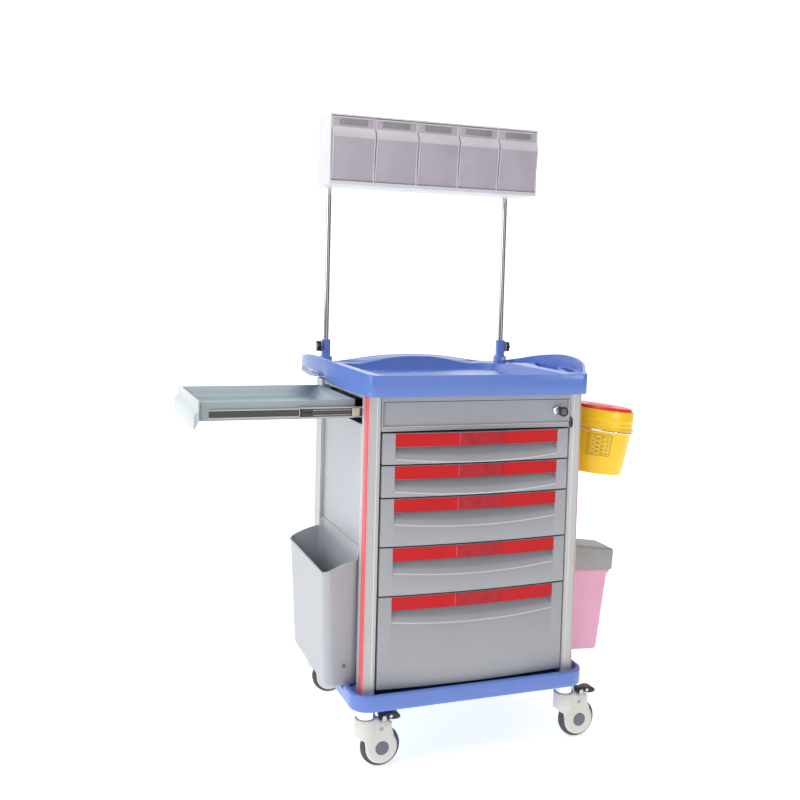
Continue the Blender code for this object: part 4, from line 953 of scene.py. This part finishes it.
def casters():
    disc = [(TRAIL + 0.0385 * math.cos(a), WHEEL_R + 0.0385 * math.sin(a))
            for a in (math.radians(36 - 5.6 * i) for i in range(40))]
    neck = [(-0.0045, 0.0655), (-0.0085, 0.0678), (-0.0125, 0.0698), (-0.0165, 0.0725), (-0.019, 0.0755),
            (-0.02, 0.079)]
    shoulder = [(-0.02, 0.095), (-0.02, NECK_TOP), (0.0, NECK_TOP), (0.0265, NECK_TOP), (0.031, HOOD_TOP),
                (0.048, HOOD_TOP), (0.056, 0.1105), (0.0605, 0.1065), (0.0618, 0.102), (0.0606, 0.0955),
                (0.0622, 0.09), (0.0648, 0.0825)]
    outline = list(reversed(disc + neck + shoulder))
    for name, x, y, brake in (("front_left", -0.261, -0.2205, True), ("front_right", 0.261, -0.2205, True),
                              ("rear_left", -0.261, 0.2205, False), ("rear_right", 0.261, 0.2205, False)):
        body, roller = f"caster_{name}", f"roller_{name}"
        sides = ((0.019, 0.011), (0.0188, 0.007), (0.0178, 0.0035), (0.016, 0.0012), (0.0135, 0.0))
        levels = [(-depth, distance) for depth, distance in sides] + [(0.0, 0.0)] + list(reversed(sides))
        rings = [[(x + a, y + depth, z) for a, z in inset(outline, distance)] for depth, distance in levels]
        hub = (x + TRAIL, y, WHEEL_R)
        slot = drum(WHEEL_R + 0.0035, y - 0.0118, y + 0.0118, "Y", (x + TRAIL, WHEEL_R), sides=64)
        top_cut = block((x - 0.1, y - 0.1, NECK_TOP), (x + 0.1, y + 0.1, 0.15))
        hood = carve(loft(rings), slot, top_cut)
        piece(f"hood_{name}", hood, CREAM, body, [f"caster_fork_{name}"], angle=40)
        profile = [(0.023, 0.0785), (0.025, 0.0793), (0.026, 0.0812), (0.0256, 0.1173), (0.025, 0.1187),
                   (0.0232, NECK_TOP)]
        piece(f"hood_neck_{name}", carve(lathe(profile, 64, "Z", (x, y, 0)), slot), CREAM, body, angle=40)
        profile = [(0.017, 0.1175), (0.0212, 0.1175), (0.0215, 0.12), (0.0215, 0.1405), (0.021, 0.1436),
                   (0.017, 0.1437)]
        piece(f"collar_{name}", lathe(profile, 64, "Z", (x, y, 0)), CHROME, body, angle=30)
        profile = [(0.0205, 0.1185), (0.023, 0.1185), (0.0228, 0.1196), (0.0205, 0.1196)]
        piece(f"collar_seal_{name}", lathe(profile, 48, "Z", (x, y, 0)), LID_GREY, body)
        half = [(0.037, 0.0104), (0.0405, 0.0104), (0.043, 0.0097), (0.0455, 0.0078), (0.0472, 0.005),
                (0.048, 0.0012)]
        tyre = lathe([(r, -depth) for r, depth in half] + half[::-1], 96, "Y", hub)
        piece(f"tyre_{name}", tyre, RUBBER, roller, [f"wheel_{name}"], angle=40)
        profile = [(0.01, -0.011), (0.0368, -0.01), (0.0372, 0.0), (0.0368, 0.01), (0.01, 0.011)]
        rim = carve(lathe(profile, 64, "Y", hub), drum(0.0044, y - 0.02, y + 0.02, "Y", (x + TRAIL, WHEEL_R)))
        piece(f"rim_{name}", rim, LID_GREY, roller, angle=40)
        cap = [(0.0001, 0.0), (0.0165, 0.0), (0.0165, 0.0008), (0.0158, 0.0016), (0.011, 0.002),
               (0.0001, 0.0021)]
        screw = [(0.0001, 0.0), (0.0048, 0.0), (0.0047, 0.0008), (0.004, 0.0013), (0.0001, 0.0014)]
        for face in (-1, 1):
            end = f"{name}_{face + 1}"
            place = (x + TRAIL, y + face * 0.0184, WHEEL_R)
            button(f"hub_cap_{end}", cap, 48, place, CAP_GREY, body, facing=face)
            place = (x + 0.034, y + face * 0.0186, 0.094)
            button(f"hood_screw_{end}", screw, 32, place, LID_GREY, body, facing=face)
        if brake:
            pedal(name, body, x, y)


def pedal(name, body, x, y):
    for side in (-1, 1):
        ys = sorted((y + side * 0.0135, y + side * 0.0165))
        lug = [(x + 0.037, 0.111), (x + 0.047, 0.111), (x + 0.047, 0.12), (x + 0.0445, 0.1225),
               (x + 0.0395, 0.1225), (x + 0.037, 0.12)]
        piece(f"pedal_lug_{name}_{side + 1}", prism(lug, ys[0], ys[1], "Y"), CREAM, body, bevel=0.0006)
    pin = drum(0.0018, y - 0.0168, y + 0.0168, "Y", (x + 0.042, 0.1195), sides=24)
    piece(f"pedal_pin_{name}", pin, SCREW, body)
    outline = [(0.033, 0.1165), (0.042, 0.1157), (0.05, 0.115), (0.062, 0.1112), (0.072, 0.111),
               (0.079, 0.1122), (0.083, 0.116), (0.081, 0.1205), (0.075, 0.124), (0.066, 0.126),
               (0.056, 0.1255), (0.046, 0.1245), (0.036, 0.124), (0.033, 0.122)]
    lever = prism([(x + a, z) for a, z in outline], y - 0.013, y + 0.013, "Y")
    bore = drum(0.0022, y - 0.02, y + 0.02, "Y", (x + 0.042, 0.1195), sides=24)
    waist = [block((x + 0.03, y - 0.02, 0.1), (x + 0.055, y - 0.0105, 0.14)),
             block((x + 0.03, y + 0.0105, 0.1), (x + 0.055, y + 0.02, 0.14))]
    piece(f"pedal_lever_{name}", carve(lever, bore, *waist), BLACK, f"pedal_{name}", [f"brake_pedal_{name}"],
          bevel=0.0016)
    eyelet = [(0.0014, 0.0), (0.0037, 0.0), (0.0038, 0.001), (0.0034, 0.0018), (0.002, 0.002),
              (0.0014, 0.0014)]
    button(f"pedal_eyelet_{name}", eyelet, 32, (x + 0.059, y - 0.0128, 0.1192), WHITE_TRIM_AND_HIGHLIGHT, f"pedal_{name}")


# ---- studio
def studio():
    profile = [(-8.0, 0.0), (2.2, 0.0)]
    for step in range(1, 13):
        turn = math.radians(90 * step / 12)
        profile.append((2.2 + 2.5 * math.sin(turn), 2.5 * (1 - math.cos(turn))))
    profile.append((4.7, 9.0))
    bm = bmesh.new()
    rows = [[bm.verts.new((x, y, z)) for x in (-9.0, 9.0)] for y, z in profile]
    for row, after in zip(rows, rows[1:]):
        bm.faces.new((row[0], row[1], after[1], after[0]))
    sweep = bpy.data.objects.new("studio_sweep", finish("studio_sweep", bm))
    bpy.context.scene.collection.objects.link(sweep)
    paper = surface("studio_paper", (0.93, 0.93, 0.93), 0.9, tint=0.005, grain=0.0, specular=0.0)
    glow = paper.node_tree.nodes["Principled BSDF"].inputs
    glow["Emission Color"].default_value = (1.0, 1.0, 1.0, 1.0)
    glow["Emission Strength"].default_value = 0.85
    sweep.data.materials.append(paper)
    smooth(sweep, 60)
    world = bpy.data.worlds.new("studio_world")
    world.use_nodes = True
    background = world.node_tree.nodes["Background"].inputs
    background["Color"].default_value = (1.0, 1.0, 1.0, 1.0)
    background["Strength"].default_value = 0.31
    bpy.context.scene.world = world

    def light(name, kind, place, aim, power):
        made = bpy.data.objects.new(name, bpy.data.lights.new(name, kind))
        made.data.energy = power
        made.location = place
        made.rotation_euler = (Vector(aim) - Vector(place)).to_track_quat('-Z', 'Y').to_euler()
        bpy.context.scene.collection.objects.link(made)
        return made

    for name, x, y, width in (("flag_right", 2.6, -4.4, 3.4), ("flag_left", -2.9, -3.6, 0.9)):
        card = bpy.data.objects.new(name, block((x, y, 0.3), (x + 0.02, y + width, 3.2)))
        bpy.context.scene.collection.objects.link(card)
        card.data.materials.append(BLACK)
        card.visible_camera = False
        card.visible_diffuse = False
        card.visible_shadow = False
    spot = light("spot_right", 'SPOT', (1.7, -2.1, 1.3), (0.5, -0.15, 0.765), 75).data
    spot.spot_size = math.radians(11)
    spot.spot_blend = 0.6
    spot.shadow_soft_size = 0.2
    for name, place, aim, size, power in (("key_left", (-3.6, -0.9, 2.2), (0.0, 0.0, 0.7), 2.6, 72),
                                          ("top_soft", (-0.4, -0.6, 4.4), (0.0, 0.0, 0.8), 3.0, 105),
                                          ("fill_front", (1.0, -4.4, 1.6), (0.0, 0.0, 0.7), 2.4, 20)):
        lamp = light(name, 'AREA', place, aim, power)
        lamp.data.size = size
        lamp.visible_camera = False


def camera():
    yaw, pitch, roll = 0.35706, 0.06759, 0.02688
    forward = Vector((math.sin(yaw) * math.cos(pitch), math.cos(yaw) * math.cos(pitch), -math.sin(pitch)))
    right = Vector((math.cos(yaw), -math.sin(yaw), 0.0))
    up = right.cross(forward)
    across = right * math.cos(roll) + up * math.sin(roll)
    upward = -right * math.sin(roll) + up * math.cos(roll)
    data = bpy.data.cameras.new("studio_camera")
    data.sensor_width = 36.0
    data.lens = 992.07 / 800 * 36.0
    data.shift_x = -(413.02 - 400) / 800
    data.shift_y = (349.3 - 400) / 800
    data.clip_end = 60.0
    made = bpy.data.objects.new("studio_camera", data)
    turned = Matrix((across, upward, -forward)).transposed().to_4x4()
    made.matrix_world = Matrix.Translation(Vector((-0.9642, -2.3568, 1.1325)) + SHIFT) @ turned
    bpy.context.scene.collection.objects.link(made)
    bpy.context.scene.camera = made


worktop()
sockets_and_mast()
rack()
columns_and_panels()
base_tray()
drawers()
side_shelf()
lock()
left_bin()
sharps()
pink_bin()
casters()
studio()
camera()

scene = bpy.context.scene
scene.view_settings.view_transform = 'Standard'
scene.view_settings.exposure = -0.41
scene.cycles.max_bounces = 8
scene.cycles.transparent_max_bounces = 12
